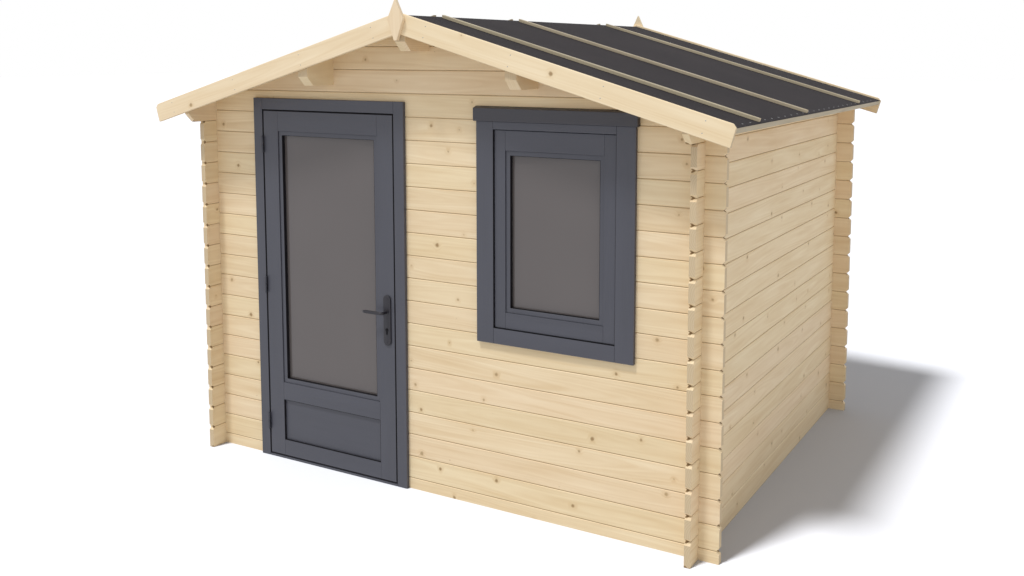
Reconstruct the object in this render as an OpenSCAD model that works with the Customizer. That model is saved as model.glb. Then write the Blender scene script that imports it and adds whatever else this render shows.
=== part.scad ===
// Garden shed of crossed logs under a low gable roof, with a glazed door and one window in the front wall.
// Origin at the centre of the footprint, on the ground. +X right, +Y to the rear, +Z up, millimetres.

/* [Building] */
// Width over the outer faces of the side walls
cabin_w = 2840; // [2500:10:4200]
// Depth over the outer faces of the front and rear walls
cabin_d = 2310; // [1500:10:5000]
// Least clear height between the door trim's upper corner and the roof boards
eaves_clear = 60; // [30:5:300]

/* [Logs] */
// Height that one log adds to a wall
log_h = 114; // [90:1:140]
// Thickness of a log
log_t = 28; // [24:1:44]
// Length of the crossed log ends beyond the walls' outer faces
log_end = 95; // [60:5:150]
// Bevel on the corners of a log end
end_bevel = 15; // [5:1:20]
// Depth of the V-groove along each joint on the wall faces
joint_v = 4; // [2:0.5:6]
// Clearance round a log where it crosses another wall
notch_fit = 0.3; // [0.2:0.1:0.45]

/* [Roof] */
// Pitch of the roof in degrees
roof_pitch = 16; // [12:1:24]
// Thickness of the roof boards
roof_board_t = 18; // [14:1:28]
// Thickness of the roofing felt
felt_t = 3; // [2:0.5:6]
// Gap that laying leaves between the roof's layers
lay_gap = 0.1; // [0.05:0.05:0.3]
// Overhang of the roof boards beyond the front and rear walls
roof_overhang = 197; // [120:1:400]
// Level distance from a side wall's outer face to the lower edge of the roof boards
eave_overhang = 180; // [120:5:300]
// Width of the purlins
purlin_w = 58; // [40:1:80]
// Height of the purlins
purlin_h = 145; // [100:1:200]
// Distance of the two side purlins from the ridge
purlin_x = 594; // [400:1:900]
// Corner cut off the lower end of a purlin and of the top side log
tail_cut = 44; // [20:1:80]

/* [Roof trim] */
// Width of the barge boards
barge_w = 95; // [70:1:160]
// Thickness of the barge boards
barge_t = 18; // [14:1:28]
// Height of the barge boards' top edge above the felt
barge_rise = 11; // [0:1:30]
// Length of the barge boards past the felt's edge
barge_past = 3; // [0:1:40]
// Corner cut off the upper outer end of a barge board
barge_clip = 18; // [5:1:30]
// Thickness of the lath along the eaves
eave_lath_t = 15; // [10:1:30]
// Height of the lath along the eaves
eave_lath_h = 24; // [20:1:60]
// Width of the battens over the felt
batten_w = 22; // [15:1:50]
// Height of the battens over the felt
batten_h = 15; // [8:1:30]
// Distance of the first batten from the felt's front edge
batten_first = 312; // [100:1:400]
// Distance of the second batten from the felt's front edge
batten_second = 1057; // [600:1:1200]
// Distance of the last batten from the felt's rear edge
batten_last = 517; // [100:1:600]
// Distance between a batten's lower end and the felt's edge
batten_short = 12; // [0:1:60]
// Distance between a batten's upper end and the ridge
batten_ridge_gap = 24; // [10:1:60]
// Width of the finials
finial_w = 90; // [60:1:140]
// Thickness of the finials
finial_t = 20; // [12:1:30]
// Height of a finial above its widest line
finial_up = 95; // [50:1:150]
// Depth of a finial below its widest line
finial_down = 99; // [50:1:200]
// Width of a finial's blunt lower end
finial_foot = 16; // [5:1:30]

/* [Door] */
// Position of the door's centre line, left of the building's centre
door_x = 608; // [560:1:650]
// Clear width between the door trims
door_w = 860; // [600:5:900]
// Clear height from the ground to the underside of the head trim
door_h = 1895; // [1600:5:2300]
// Width of the trim boards round the door
door_trim_w = 60; // [40:1:100]
// Gap round the leaf
leaf_gap = 5; // [5:0.5:8]
// Thickness of the leaf
leaf_t = 40; // [34:1:50]
// Distance of the leaf's face behind the face of the trim
leaf_back = 2; // [1:1:8]
// Width of the leaf's stiles
stile_w = 100; // [70:1:130]
// Height of the leaf's top rail
top_rail_h = 107; // [70:1:150]
// Height of the leaf's middle rail
mid_rail_h = 95; // [60:1:150]
// Height of the leaf's bottom rail
bottom_rail_h = 88; // [60:1:200]
// Height of the lower panel
panel_h = 225; // [150:5:600]
// Thickness of the lower panel
panel_t = 16; // [8:1:20]
// Height of the threshold strip
threshold_h = 12; // [8:1:14]

/* [Window] */
// Position of the window's centre line, right of the building's centre
window_x = 708; // [600:1:760]
// Width between the window trims
window_w = 628; // [400:4:700]
// Height of the sash's lower edge above the ground
window_sill = 900; // [700:5:1000]
// Height between the window's lower and upper trims
window_h = 940; // [600:5:950]
// Width of the window's side trims
window_trim_w = 92; // [60:1:100]
// Width of the window's lower trim
window_lower_w = 75; // [50:1:120]
// Height of the side trims above the sash
window_upper_w = 37; // [30:1:60]
// Height of the drip board over the window
drip_h = 71; // [40:1:100]
// Thickness of the drip board
drip_t = 30; // [24:1:40]
// Length of the drip board past each side trim
drip_past = 12; // [0:1:30]
// Width of the sash's stiles
sash_stile_w = 58; // [40:1:80]
// Height of the sash's lower rail
sash_bottom_h = 76; // [50:1:110]
// Height of the sash's upper rail
sash_top_h = 94; // [50:1:110]
// Thickness of the sash
sash_t = 36; // [32:1:50]
// Distance of the sash's face behind the face of the trim
sash_back = 10; // [4:1:16]
// Gap between the sash and its frame
sash_gap = 3; // [1:0.5:6]

/* [Joinery] */
// Thickness of the trim boards
trim_t = 20; // [14:1:26]
// Width of the trim boards inside the building
inner_trim_w = 60; // [40:1:90]
// Gap at the butt joint of two trim boards
butt_gap = 0.3; // [0.2:0.1:0.8]
// Thickness of the door and window frame members
frame_t = 38; // [25:1:45]
// Depth of the door and window frames from the wall's outer face
frame_d = 70; // [60:1:120]
// Thickness of the stops that the leaf and the sash close against
stop_t = 15; // [8:1:20]
// Thickness of the glass
glass_t = 4; // [3:0.5:6]
// Distance from the leaf's or sash's face to the glass
glass_back = 26; // [22:1:28]
// Width of the glazing beads
bead_w = 22; // [12:1:28]
// Distance of the beads' face behind the leaf's or sash's face
bead_back = 6; // [3:1:12]
// Gap that bedding leaves between glass, beads and rails
bed_gap = 0.3; // [0.2:0.1:0.8]

/* [Hardware] */
// Length of a hinge
hinge_l = 90; // [60:5:120]
// Radius of a hinge knuckle
knuckle_r = 7; // [5.5:0.5:9]
// Clearance between a knuckle and the face of the trim
knuckle_clear = 1; // [0.5:0.5:4]
// Radius of a hinge pin
pin_r = 3.5; // [2.5:0.5:4]
// Running clearance in a knuckle and round the lever's neck
bore_fit = 0.3; // [0.2:0.1:0.6]
// Thickness of a hinge plate
hinge_plate_t = 2; // [1.5:0.25:2]
// Distance of the outer hinges from the leaf's ends
hinge_inset = 180; // [120:5:300]
// Height of the lever above the ground
lever_z = 900; // [800:5:1100]
// Distance of the lever's axis from the leaf's closing edge
lever_inset = 45; // [35:1:60]
// Width of the back plate
plate_w = 45; // [38:1:50]
// Length of the back plate
plate_l = 258; // [200:1:280]
// Height of the back plate above the lever's axis
plate_up = 85; // [60:1:110]
// Thickness of the back plate
plate_t = 8; // [4:1:12]
// Reach of the lever from its axis
lever_l = 118; // [90:1:140]
// Distance of the lever's centre line from the back plate
lever_out = 42; // [30:1:60]
// Thickness of the lever
lever_t = 16; // [12:1:20]
// Radius of the lever's neck
neck_r = 8; // [6:0.5:9]
// Distance that the lock cylinder stands out of the back plate
cylinder_out = 2; // [0.5:0.5:4]
// Distance of the lock cylinder below the lever's axis
cylinder_down = 92; // [72:1:100]

/* [Floor] */
// Width of the floor bearers
bearer_w = 60; // [40:1:100]
// Height of the floor bearers
bearer_h = 28; // [20:1:80]
// Number of floor bearers
bearer_n = 5; // [3:1:9]
// Thickness of the floor boards
floor_t = 18; // [14:1:28]
// Gap between the floor and the walls
floor_gap = 5; // [2:1:15]

/* [Hidden] */
$fn = 48;
half_w = cabin_w / 2;
half_d = cabin_d / 2;

// Door: the wall is cut for the frame, and the side walls are as many logs high as let the trim pass the roof
door_cut_w = door_w + 2 * frame_t;
door_cut_h = door_h + frame_t;
door_trim_top = door_h + door_trim_w;
door_trim_corner = door_x + door_w / 2 + door_trim_w;
roof_gain = (half_w - door_trim_corner) * tan(roof_pitch);
side_courses = ceil((door_trim_top + eaves_clear - roof_gain) / log_h);
wall_h = side_courses * log_h;
leaf_w = door_w - 2 * leaf_gap;
leaf_z = threshold_h + leaf_gap;
leaf_h = door_h - leaf_gap - leaf_z;
leaf_y = -half_d - trim_t + leaf_back;
leaf_left = -door_x - leaf_w / 2;
stop_y = leaf_y + leaf_t + leaf_gap;
mid_rail_z = leaf_z + bottom_rail_h + panel_h;
door_light_z = mid_rail_z + mid_rail_h;
door_light_h = leaf_z + leaf_h - top_rail_h - door_light_z;
door_light_w = leaf_w - 2 * stile_w;

// Roof: heights on the underside of the boards, and lengths down the slope
ridge_z = wall_h + half_w * tan(roof_pitch);
boards_run = (half_w + eave_overhang) / cos(roof_pitch);
felt_run = boards_run + eave_lath_t;
felt_low = roof_board_t + lay_gap;
felt_top = felt_low + felt_t;
barge_top = felt_top + barge_rise;
boards_y = half_d + roof_overhang;
barge_run = felt_run + barge_past;
// The finials' widest line lies a third of the way down the barge boards
finial_z = ridge_z + barge_top / cos(roof_pitch) - barge_w / 3;

// Joints between logs: the front and rear walls start with a half log, so that every log crosses two others
end_joints = [for (z = [log_h / 2 : log_h : ridge_z]) z];
side_joints = [for (i = [1 : side_courses - 1]) i * log_h];
// The front wall is split at the joint under the top of the doorway
gable_z = (floor(door_cut_h / log_h - 0.5) + 0.5) * log_h;
log_half_x = half_w + log_end;
log_half_y = half_d + log_end;

// Window
window_cut_w = window_w + 2 * frame_t;
window_cut_h = window_h + 2 * frame_t;
window_frame_z = window_sill - frame_t;
window_frame_top = window_frame_z + window_cut_h;
// Less than a quarter of a log is not left standing between the window and the joint above it
thin_strip = abs(gable_z - window_frame_top) < log_h / 4;
window_cut_top = thin_strip ? max(gable_z, window_frame_top) : window_frame_top;
sash_w = window_w - 2 * sash_gap;
sash_h = window_h - 2 * sash_gap;
sash_z = window_sill + sash_gap;
sash_y = -half_d - trim_t + sash_back;
sash_stop_y = sash_y + sash_t + bed_gap;
sash_light_z = sash_z + sash_bottom_h;
sash_light_w = sash_w - 2 * sash_stile_w;
sash_light_h = sash_h - sash_bottom_h - sash_top_h;
window_trim_top = window_sill + window_h + window_upper_w;
window_outer_w = window_w + 2 * window_trim_w;

// Hinges and lever
hinge_x = leaf_left - leaf_gap / 2;
hinge_y = -half_d - trim_t - knuckle_r - knuckle_clear;
// The pin fills four fifths of the upper knuckle
knuckle_l = hinge_l / 2;
pin_up = 0.8 * knuckle_l;
hinge_z = [leaf_z + hinge_inset, leaf_z + leaf_h / 2, leaf_z + leaf_h - hinge_inset];
lever_x = leaf_left + leaf_w - lever_inset;

// Floor
floor_z = bearer_h + floor_t;
floor_w = cabin_w - 2 * (log_t + floor_gap);
floor_d = cabin_d - 2 * (log_t + floor_gap);
bearer_step = (floor_w - bearer_w) / (bearer_n - 1);
// The frame reaches further in than the wall, so the floor is cut back behind the doorway
floor_notch = frame_d - log_t;

WOOD = "#DEC8A5";
ROOF_WOOD = "#CDB996";
JOINERY = "#585C64";
FELT = "#4A4646";
LATH = "#B8AE9A";
GLASS = "#6B6560";
METAL = "#3A3740";

// ---- shared shapes ----

// A box between two corners
module span(a, b) translate(a) cube(b - a);

// Draws its 2D children in elevation and gives them a thickness towards +Y
module upright(t) translate([0, t, 0]) rotate([90, 0, 0]) linear_extrude(t) children();

// Draws its 2D children in the Y-Z plane and runs them along +X
module along_x(length) rotate([90, 0, 90]) linear_extrude(length) children();

// A board with its inner edge cut out: w by h outside, with the given widths of the four members
module ring(w, h, side, low, high) difference() {
    translate([-w / 2, 0]) square([w, h]);
    translate([-w / 2 + side, low]) square([w - 2 * side, h - low - high]);
}

// ---- logs ----

// Section through a wall: flat on both faces, with a V-groove at every joint
module log_section(joints, outer_top, inner_top) {
    low = [for (z = joints) if (z < outer_top - joint_v) z];
    n = len(low);
    polygon(concat(
        [[0, 0]],
        [for (z = low) each [[0, z - joint_v], [joint_v, z], [0, z + joint_v]]],
        [[0, outer_top], [log_t, inner_top]],
        [for (i = [n - 1 : -1 : 0])
            each [[log_t, low[i] + joint_v], [log_t - joint_v, low[i]], [log_t, low[i] - joint_v]]],
        [[log_t, 0]]
    ));
}

// Outline of a wall in elevation: the logs' ends are bevelled, so every joint is a notch
module log_outline(half, joints, top) {
    low = [for (z = joints) if (z < top - end_bevel) z];
    n = len(low);
    polygon(concat(
        [[-half, 0], [half, 0]],
        [for (z = low) each [[half, z - end_bevel], [half - end_bevel, z], [half, z + end_bevel]]],
        [[half, top], [-half, top]],
        [for (i = [n - 1 : -1 : 0])
            each [[-half, low[i] + end_bevel], [end_bevel - half, low[i]], [-half, low[i] - end_bevel]]]
    ));
}

// Everything under the roof boards, in elevation
module under_roof() {
    reach = half_w + 2 * log_end;
    drop = reach * tan(roof_pitch);
    polygon([[-reach, 0], [reach, 0], [reach, ridge_z - drop], [0, ridge_z], [-reach, ridge_z - drop]]);
}

// Notches at both ends of a wall where the other walls' logs cross: a log keeps its middle half.
// from is the middle height of the first crossing log, to the height that the notches stop below.
module crossings(half, from, to) {
    for (z = [from : log_h : to], side = [-1, 1])
        translate([side * (half - log_t / 2), z])
            square([log_t + 2 * notch_fit, log_h / 2 + 2 * notch_fit], center = true);
}

module purlin_holes() {
    for (x = [-purlin_x, 0, purlin_x])
        translate([x - purlin_w / 2, roof_at(x) - purlin_h]) square([purlin_w, 2 * purlin_h]);
}

// Elevation of a front or rear wall without its doorway
module end_wall_face() {
    difference() {
        intersection() {
            log_outline(log_half_x, end_joints, ridge_z + log_h);
            under_roof();
        }
        crossings(half_w, log_h / 2, wall_h);
        purlin_holes();
    }
}

// A front or rear wall made of its 2D children, with its outer face on y = 0
module end_wall() {
    intersection() {
        upright(log_t) children();
        translate([-log_half_x, 0, 0])
            along_x(2 * log_half_x) log_section(end_joints, ridge_z + log_h, ridge_z + log_h);
    }
}

// A side wall with its outer face on y = 0: its top log reaches out to the barge boards
module side_wall() {
    lift = log_t * tan(roof_pitch);
    top_joint = wall_h - log_h;
    intersection() {
        upright(log_t) difference() {
            union() {
                log_outline(log_half_y, side_joints, wall_h + lift);
                polygon([
                    [-boards_y + tail_cut, top_joint], [boards_y - tail_cut, top_joint],
                    [boards_y, top_joint + tail_cut], [boards_y, wall_h + lift],
                    [-boards_y, wall_h + lift], [-boards_y, top_joint + tail_cut]
                ]);
            }
            crossings(half_d, 0, wall_h + log_h);
        }
        translate([-boards_y, 0, 0]) along_x(2 * boards_y) log_section(side_joints, wall_h, wall_h + lift);
    }
}

module front_wall_left() color(WOOD) translate([0, -half_d, 0]) end_wall()
    intersection() {
        end_wall_face();
        translate([-log_half_x, 0]) square([log_half_x - door_x - door_cut_w / 2, gable_z]);
    }

// The opening for the window's frame
module window_cut() translate([window_x - window_cut_w / 2, window_frame_z])
    square([window_cut_w, window_cut_top - window_frame_z]);

module front_wall_right() color(WOOD) translate([0, -half_d, 0]) end_wall()
    difference() {
        intersection() {
            end_wall_face();
            translate([door_cut_w / 2 - door_x, 0]) square([log_half_x + door_x - door_cut_w / 2, gable_z]);
        }
        window_cut();
    }

module front_gable() color(WOOD) translate([0, -half_d, 0]) end_wall()
    difference() {
        intersection() {
            end_wall_face();
            translate([-log_half_x, gable_z]) square([2 * log_half_x, ridge_z]);
        }
        translate([-door_x - door_cut_w / 2, 0]) square([door_cut_w, door_cut_h]);
        window_cut();
    }

module rear_wall() color(WOOD) translate([0, half_d, 0]) rotate([0, 0, 180]) end_wall() end_wall_face();

module left_wall() color(WOOD) translate([-half_w, 0, 0]) rotate([0, 0, -90]) side_wall();

module right_wall() color(WOOD) translate([half_w, 0, 0]) rotate([0, 0, 90]) side_wall();

// ---- floor ----

module floor_bearers() color(WOOD)
    for (i = [0 : bearer_n - 1])
        translate([-floor_w / 2 + i * bearer_step, -floor_d / 2 + floor_notch, 0])
            cube([bearer_w, floor_d - floor_notch, bearer_h]);

module floor_boards() color(WOOD) translate([0, 0, bearer_h]) linear_extrude(floor_t) difference() {
    square([floor_w, floor_d], center = true);
    translate([-door_x - door_w / 2 - frame_t - floor_gap, -floor_d / 2])
        square([door_w + 2 * (frame_t + floor_gap), floor_notch]);
}

// ---- roof ----

// Height of the roof boards' underside at a distance from the ridge
function roof_at(x) = ridge_z - abs(x) * tan(roof_pitch);

// Point on the right slope: run down the slope from the ridge, and lift square to it
function slope_point(run, lift) = [
    run * cos(roof_pitch) + lift * sin(roof_pitch),
    ridge_z - run * sin(roof_pitch) + lift * cos(roof_pitch)
];

// Section of a layer of the roof on the right slope, mitred upright at the ridge
module slope_layer(lift_a, lift_b, run) polygon([
    [0, ridge_z + lift_a / cos(roof_pitch)],
    slope_point(run, lift_a),
    slope_point(run, lift_b),
    [0, ridge_z + lift_b / cos(roof_pitch)]
]);

// Runs its 2D children along Y, centred on the building
module roof_length(length) translate([0, -length / 2, 0]) upright(length) children();

// A purlin with its top planed to the roof and the lower corners of its ends cut off
module purlin(x) intersection() {
    roof_length(2 * boards_y) intersection() {
        translate([x - purlin_w / 2, roof_at(x) - purlin_h]) square([purlin_w, 2 * purlin_h]);
        under_roof();
    }
    low = roof_at(x) - purlin_h;
    translate([x - purlin_w, 0, 0]) along_x(2 * purlin_w) polygon([
        [tail_cut - boards_y, low], [boards_y - tail_cut, low], [boards_y, low + tail_cut],
        [boards_y, ridge_z], [-boards_y, ridge_z], [-boards_y, low + tail_cut]
    ]);
}

module ridge_purlin() color(WOOD) purlin(0);

module left_purlin() color(WOOD) purlin(-purlin_x);

module right_purlin() color(WOOD) purlin(purlin_x);

module roof_boards() roof_length(2 * boards_y) slope_layer(0, roof_board_t, boards_run);

module roof_boards_left() color(ROOF_WOOD) mirror([1, 0, 0]) roof_boards();

module roof_boards_right() color(ROOF_WOOD) roof_boards();

module roof_felt() roof_length(2 * boards_y) slope_layer(felt_low, felt_top, felt_run);

module roof_felt_left() color(FELT) mirror([1, 0, 0]) roof_felt();

module roof_felt_right() color(FELT) roof_felt();

// Battens hold the felt down on each slope
module roof_battens() {
    low = felt_top + lay_gap;
    for (y = [batten_first - boards_y, batten_second - boards_y, boards_y - batten_last])
        translate([0, y, 0]) roof_length(batten_w) intersection() {
            slope_layer(low, low + batten_h, felt_run - batten_short);
            translate([batten_ridge_gap, 0]) square([felt_run, 2 * ridge_z]);
        }
}

module roof_battens_left() color(LATH) mirror([1, 0, 0]) roof_battens();

module roof_battens_right() color(LATH) roof_battens();

// A lath under the felt's edge, fixed to the ends of the roof boards
module eave_lath() roof_length(2 * boards_y) polygon([
    slope_point(boards_run, roof_board_t - eave_lath_h), slope_point(felt_run, roof_board_t - eave_lath_h),
    slope_point(felt_run, roof_board_t), slope_point(boards_run, roof_board_t)
]);

module eave_lath_left() color(LATH) mirror([1, 0, 0]) eave_lath();

module eave_lath_right() color(LATH) eave_lath();

// A barge board on the right slope, with its upper outer corner clipped, in front of y = 0
module barge() {
    low = barge_top - barge_w;
    translate([0, -barge_t, 0]) upright(barge_t) polygon([
        [0, ridge_z + low / cos(roof_pitch)],
        slope_point(barge_run, low),
        slope_point(barge_run, barge_top - barge_clip),
        slope_point(barge_run - barge_clip, barge_top),
        [0, ridge_z + barge_top / cos(roof_pitch)]
    ]);
}

module front_barge_left() color(WOOD) translate([0, -boards_y, 0]) mirror([1, 0, 0]) barge();

module front_barge_right() color(WOOD) translate([0, -boards_y, 0]) barge();

module rear_barge_left() color(WOOD) mirror([0, 1, 0]) front_barge_left();

module rear_barge_right() color(WOOD) mirror([0, 1, 0]) front_barge_right();

// A kite-shaped board over the barge boards' mitre
module finial() translate([0, -boards_y - barge_t - finial_t, finial_z]) upright(finial_t) polygon([
    [0, finial_up], [-finial_w / 2, 0], [-finial_foot / 2, -finial_down],
    [finial_foot / 2, -finial_down], [finial_w / 2, 0]
]);

module front_finial() color(WOOD) finial();

module rear_finial() color(WOOD) mirror([0, 1, 0]) finial();

// ---- door frame ----

module at_door() translate([-door_x, 0, 0]) children();

// Two posts in the wall's cut, each with a stop behind the leaf
module door_jambs() color(JOINERY) at_door() for (side = [0, 1]) mirror([side, 0, 0]) union() {
    span([door_w / 2, -half_d, 0], [door_cut_w / 2, frame_d - half_d, door_h]);
    span([door_w / 2 - stop_t, stop_y, 0], [door_w / 2 + frame_t / 2, frame_d - half_d, door_h - stop_t]);
}

module door_head() color(JOINERY) at_door() union() {
    span([-door_cut_w / 2, -half_d, door_h], [door_cut_w / 2, frame_d - half_d, door_cut_h]);
    span([-door_w / 2, stop_y, door_h - stop_t], [door_w / 2, frame_d - half_d, door_h + frame_t / 2]);
}

// A low strip under the leaf, and a sill as high as the floor behind it
module door_threshold() color(JOINERY) at_door() {
    inner = door_w / 2 - stop_t - butt_gap;
    union() {
        span([-door_w / 2, -half_d - trim_t, 0], [door_w / 2, stop_y, threshold_h]);
        span([-inner, stop_y, 0], [inner, frame_d - half_d, floor_z]);
    }
}

// Trim boards on both faces of the wall: the inner ones stand on the floor, against the jambs
module door_side_trims() color(JOINERY) at_door() for (side = [0, 1]) mirror([side, 0, 0]) {
    span([door_w / 2, -half_d - trim_t, 0], [door_w / 2 + door_trim_w, -half_d, door_trim_top]);
    span([door_cut_w / 2, log_t - half_d, floor_z],
         [door_cut_w / 2 + inner_trim_w, log_t + trim_t - half_d, door_cut_h + inner_trim_w]);
}

module door_head_trims() color(JOINERY) at_door() {
    outer = door_w / 2 - butt_gap;
    inner = door_cut_w / 2 - butt_gap;
    span([-outer, -half_d - trim_t, door_h], [outer, -half_d, door_trim_top]);
    span([-inner, log_t - half_d, door_cut_h], [inner, log_t + trim_t - half_d, door_cut_h + inner_trim_w]);
}

// ---- window ----

module at_window() translate([window_x, 0, 0]) children();

// Frame in the wall's cut, with a stop behind the sash all round
module window_frame() color(JOINERY) at_window() union() {
    member = stop_t + frame_t;
    translate([0, -half_d, window_frame_z]) upright(frame_d)
        ring(window_cut_w, window_cut_h, frame_t, frame_t, frame_t);
    translate([0, sash_stop_y, window_frame_z]) upright(frame_d - half_d - sash_stop_y)
        ring(window_cut_w, window_cut_h, member, member, member);
}

// Trims: two sides, a lower one and an upper one between them, on both faces of the wall
module window_trims() color(JOINERY) at_window() {
    low = window_sill - window_lower_w;
    between = window_w / 2 - butt_gap;
    for (side = [0, 1]) mirror([side, 0, 0])
        span([window_w / 2, -half_d - trim_t, low], [window_outer_w / 2, -half_d, window_trim_top]);
    span([-between, -half_d - trim_t, low], [between, -half_d, window_sill]);
    span([-between, -half_d - trim_t, window_sill + window_h], [between, -half_d, window_trim_top]);
    inner_low = window_frame_z - inner_trim_w;
    inner_high = window_frame_z + window_cut_h + inner_trim_w;
    inner_between = window_cut_w / 2 - butt_gap;
    for (side = [0, 1]) mirror([side, 0, 0])
        span([window_cut_w / 2, log_t - half_d, inner_low],
             [window_cut_w / 2 + inner_trim_w, log_t + trim_t - half_d, inner_high]);
    for (z = [inner_low, inner_high - inner_trim_w])
        span([-inner_between, log_t - half_d, z], [inner_between, log_t + trim_t - half_d, z + inner_trim_w]);
}

module window_drip_board() color(JOINERY) at_window() {
    half = window_outer_w / 2 + drip_past;
    span([-half, -half_d - drip_t, window_trim_top], [half, -half_d, window_trim_top + drip_h]);
}

module window_sash() color(JOINERY) at_window() translate([0, sash_y, sash_z])
    upright(sash_t) ring(sash_w, sash_h, sash_stile_w, sash_bottom_h, sash_top_h);

// ---- glazing, for the sash and the leaf ----

// A pane that fills a w by h opening whose face is on y = 0
module pane(w, h) translate([0, glass_back, 0]) upright(glass_t)
    translate([bed_gap - w / 2, bed_gap]) square([w - 2 * bed_gap, h - 2 * bed_gap]);

// Bead frames in front of and behind the pane, in a leaf or sash of thickness t
module beads(w, h, t) {
    front = glass_back - bed_gap - bead_back;
    rear = t - glass_back - glass_t - bed_gap - bead_back / 2;
    for (part = [[bead_back, front], [t - bead_back / 2 - rear, rear]])
        translate([0, part[0], bed_gap]) upright(part[1])
            ring(w - 2 * bed_gap, h - 2 * bed_gap, bead_w, bead_w, bead_w);
}

module window_glass() color(GLASS) at_window() translate([0, sash_y, sash_light_z])
    pane(sash_light_w, sash_light_h);

module window_beads() color(JOINERY) at_window() translate([0, sash_y, sash_light_z])
    beads(sash_light_w, sash_light_h, sash_t);

// ---- leaf ----

module door_stiles() color(JOINERY) {
    span([leaf_left, leaf_y, leaf_z], [leaf_left + stile_w, leaf_y + leaf_t, leaf_z + leaf_h]);
    difference() {
        span([leaf_left + leaf_w - stile_w, leaf_y, leaf_z],
             [leaf_left + leaf_w, leaf_y + leaf_t, leaf_z + leaf_h]);
        translate([lever_x, leaf_y - leaf_t, lever_z]) rotate([-90, 0, 0])
            cylinder(r = neck_r + bore_fit, h = 3 * leaf_t);
    }
}

module door_rails() color(JOINERY)
    for (rail = [
        [leaf_z, bottom_rail_h], [mid_rail_z, mid_rail_h], [leaf_z + leaf_h - top_rail_h, top_rail_h]
    ])
        span([leaf_left + stile_w, leaf_y, rail[0]],
             [leaf_left + leaf_w - stile_w, leaf_y + leaf_t, rail[0] + rail[1]]);

module door_panel() color(JOINERY) {
    front = leaf_y + (leaf_t - panel_t) / 2;
    span([leaf_left + stile_w + bed_gap, front, leaf_z + bottom_rail_h + bed_gap],
         [leaf_left + leaf_w - stile_w - bed_gap, front + panel_t, mid_rail_z - bed_gap]);
}

module door_glass() color(GLASS) translate([-door_x, leaf_y, door_light_z])
    pane(door_light_w, door_light_h);

module door_beads() color(JOINERY) translate([-door_x, leaf_y, door_light_z])
    beads(door_light_w, door_light_h, leaf_t);

// ---- hinges ----

module at_hinges() for (z = hinge_z) translate([hinge_x, hinge_y, z - hinge_l / 2]) children();

// Lower half: a knuckle with an upright pin, and a plate on the jamb's side of the gap
module frame_hinges() color(METAL) at_hinges() union() {
    cylinder(r = knuckle_r, h = knuckle_l);
    cylinder(r = pin_r, h = knuckle_l + pin_up);
    span([-leaf_gap / 2, 0, 0], [hinge_plate_t - leaf_gap / 2, leaf_t, knuckle_l]);
}

// Upper half: a bored knuckle that turns on the pin, and a plate on the leaf's edge
module leaf_hinges() color(METAL) at_hinges() translate([0, 0, knuckle_l]) difference() {
    union() {
        translate([0, 0, bore_fit]) cylinder(r = knuckle_r, h = knuckle_l - bore_fit);
        span([leaf_gap / 2 - hinge_plate_t, 0, bore_fit], [leaf_gap / 2, leaf_t, knuckle_l]);
    }
    translate([0, 0, -knuckle_l]) cylinder(r = pin_r + bore_fit, h = knuckle_l + pin_up + bore_fit);
}

// ---- handle ----

// A back plate with round ends and a lock cylinder, lying on y = 0 and facing -Y, about the lever's axis
module back_plate() {
    difference() {
        translate([0, -plate_t, 0]) upright(plate_t) {
            square_l = plate_l - plate_w;
            translate([-plate_w / 2, plate_up - plate_w / 2 - square_l]) square([plate_w, square_l]);
            translate([0, plate_up - plate_w / 2]) circle(d = plate_w);
            translate([0, plate_up - plate_w / 2 - square_l]) circle(d = plate_w);
        }
        translate([0, -2 * plate_t, 0]) rotate([-90, 0, 0]) cylinder(r = neck_r + bore_fit, h = 3 * plate_t);
    }
    translate([0, -plate_t - cylinder_out, -cylinder_down]) rotate([-90, 0, 0])
        cylinder(r = neck_r, h = plate_t);
}

module handle_plates() color(METAL) {
    translate([lever_x, leaf_y, lever_z]) back_plate();
    translate([lever_x, leaf_y + leaf_t, lever_z]) mirror([0, 1, 0]) back_plate();
}

// A round-ended bar that points to -X, on a neck that stands out from the plate towards -Y
module lever_arm() {
    out = plate_t + lever_out;
    rotate([90, 0, 0]) cylinder(r = neck_r, h = out);
    translate([0, -out, 0]) {
        sphere(r = neck_r);
        rotate([0, -90, 0]) cylinder(r = lever_t / 2, h = lever_l - lever_t / 2);
        translate([lever_t / 2 - lever_l, 0, 0]) sphere(d = lever_t);
    }
}

module door_lever() color(METAL) translate([lever_x, leaf_y, lever_z]) union() {
    lever_arm();
    rotate([-90, 0, 0]) cylinder(r = neck_r, h = leaf_t);
    translate([0, leaf_t, 0]) mirror([0, 1, 0]) lever_arm();
}

front_wall_left();
front_wall_right();
front_gable();
rear_wall();
left_wall();
right_wall();
floor_bearers();
floor_boards();
ridge_purlin();
left_purlin();
right_purlin();
roof_boards_left();
roof_boards_right();
roof_felt_left();
roof_felt_right();
roof_battens_left();
roof_battens_right();
eave_lath_left();
eave_lath_right();
front_barge_left();
front_barge_right();
rear_barge_left();
rear_barge_right();
front_finial();
rear_finial();
door_jambs();
door_head();
door_threshold();
door_side_trims();
door_head_trims();
window_frame();
window_trims();
window_drip_board();
window_sash();
window_glass();
window_beads();
door_stiles();
door_rails();
door_panel();
door_glass();
door_beads();
frame_hinges();
leaf_hinges();
handle_plates();
door_lever();
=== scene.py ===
# %% [markdown]
# # A garden shed of crossed logs
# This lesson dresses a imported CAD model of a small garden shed. Its walls are stacked spruce logs that cross
# at the corners, its low gable roof is covered with felt, and its door and window are painted anthracite.
# The CAD model fixes every size. Here each surface gets its finish, and the boards, beads, nails and fittings
# that are too fine for the CAD model are modelled with Blender's own tools.

# %% Load the fixed model
import math
import bmesh
import bpy
from mathutils import Matrix, Vector


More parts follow.
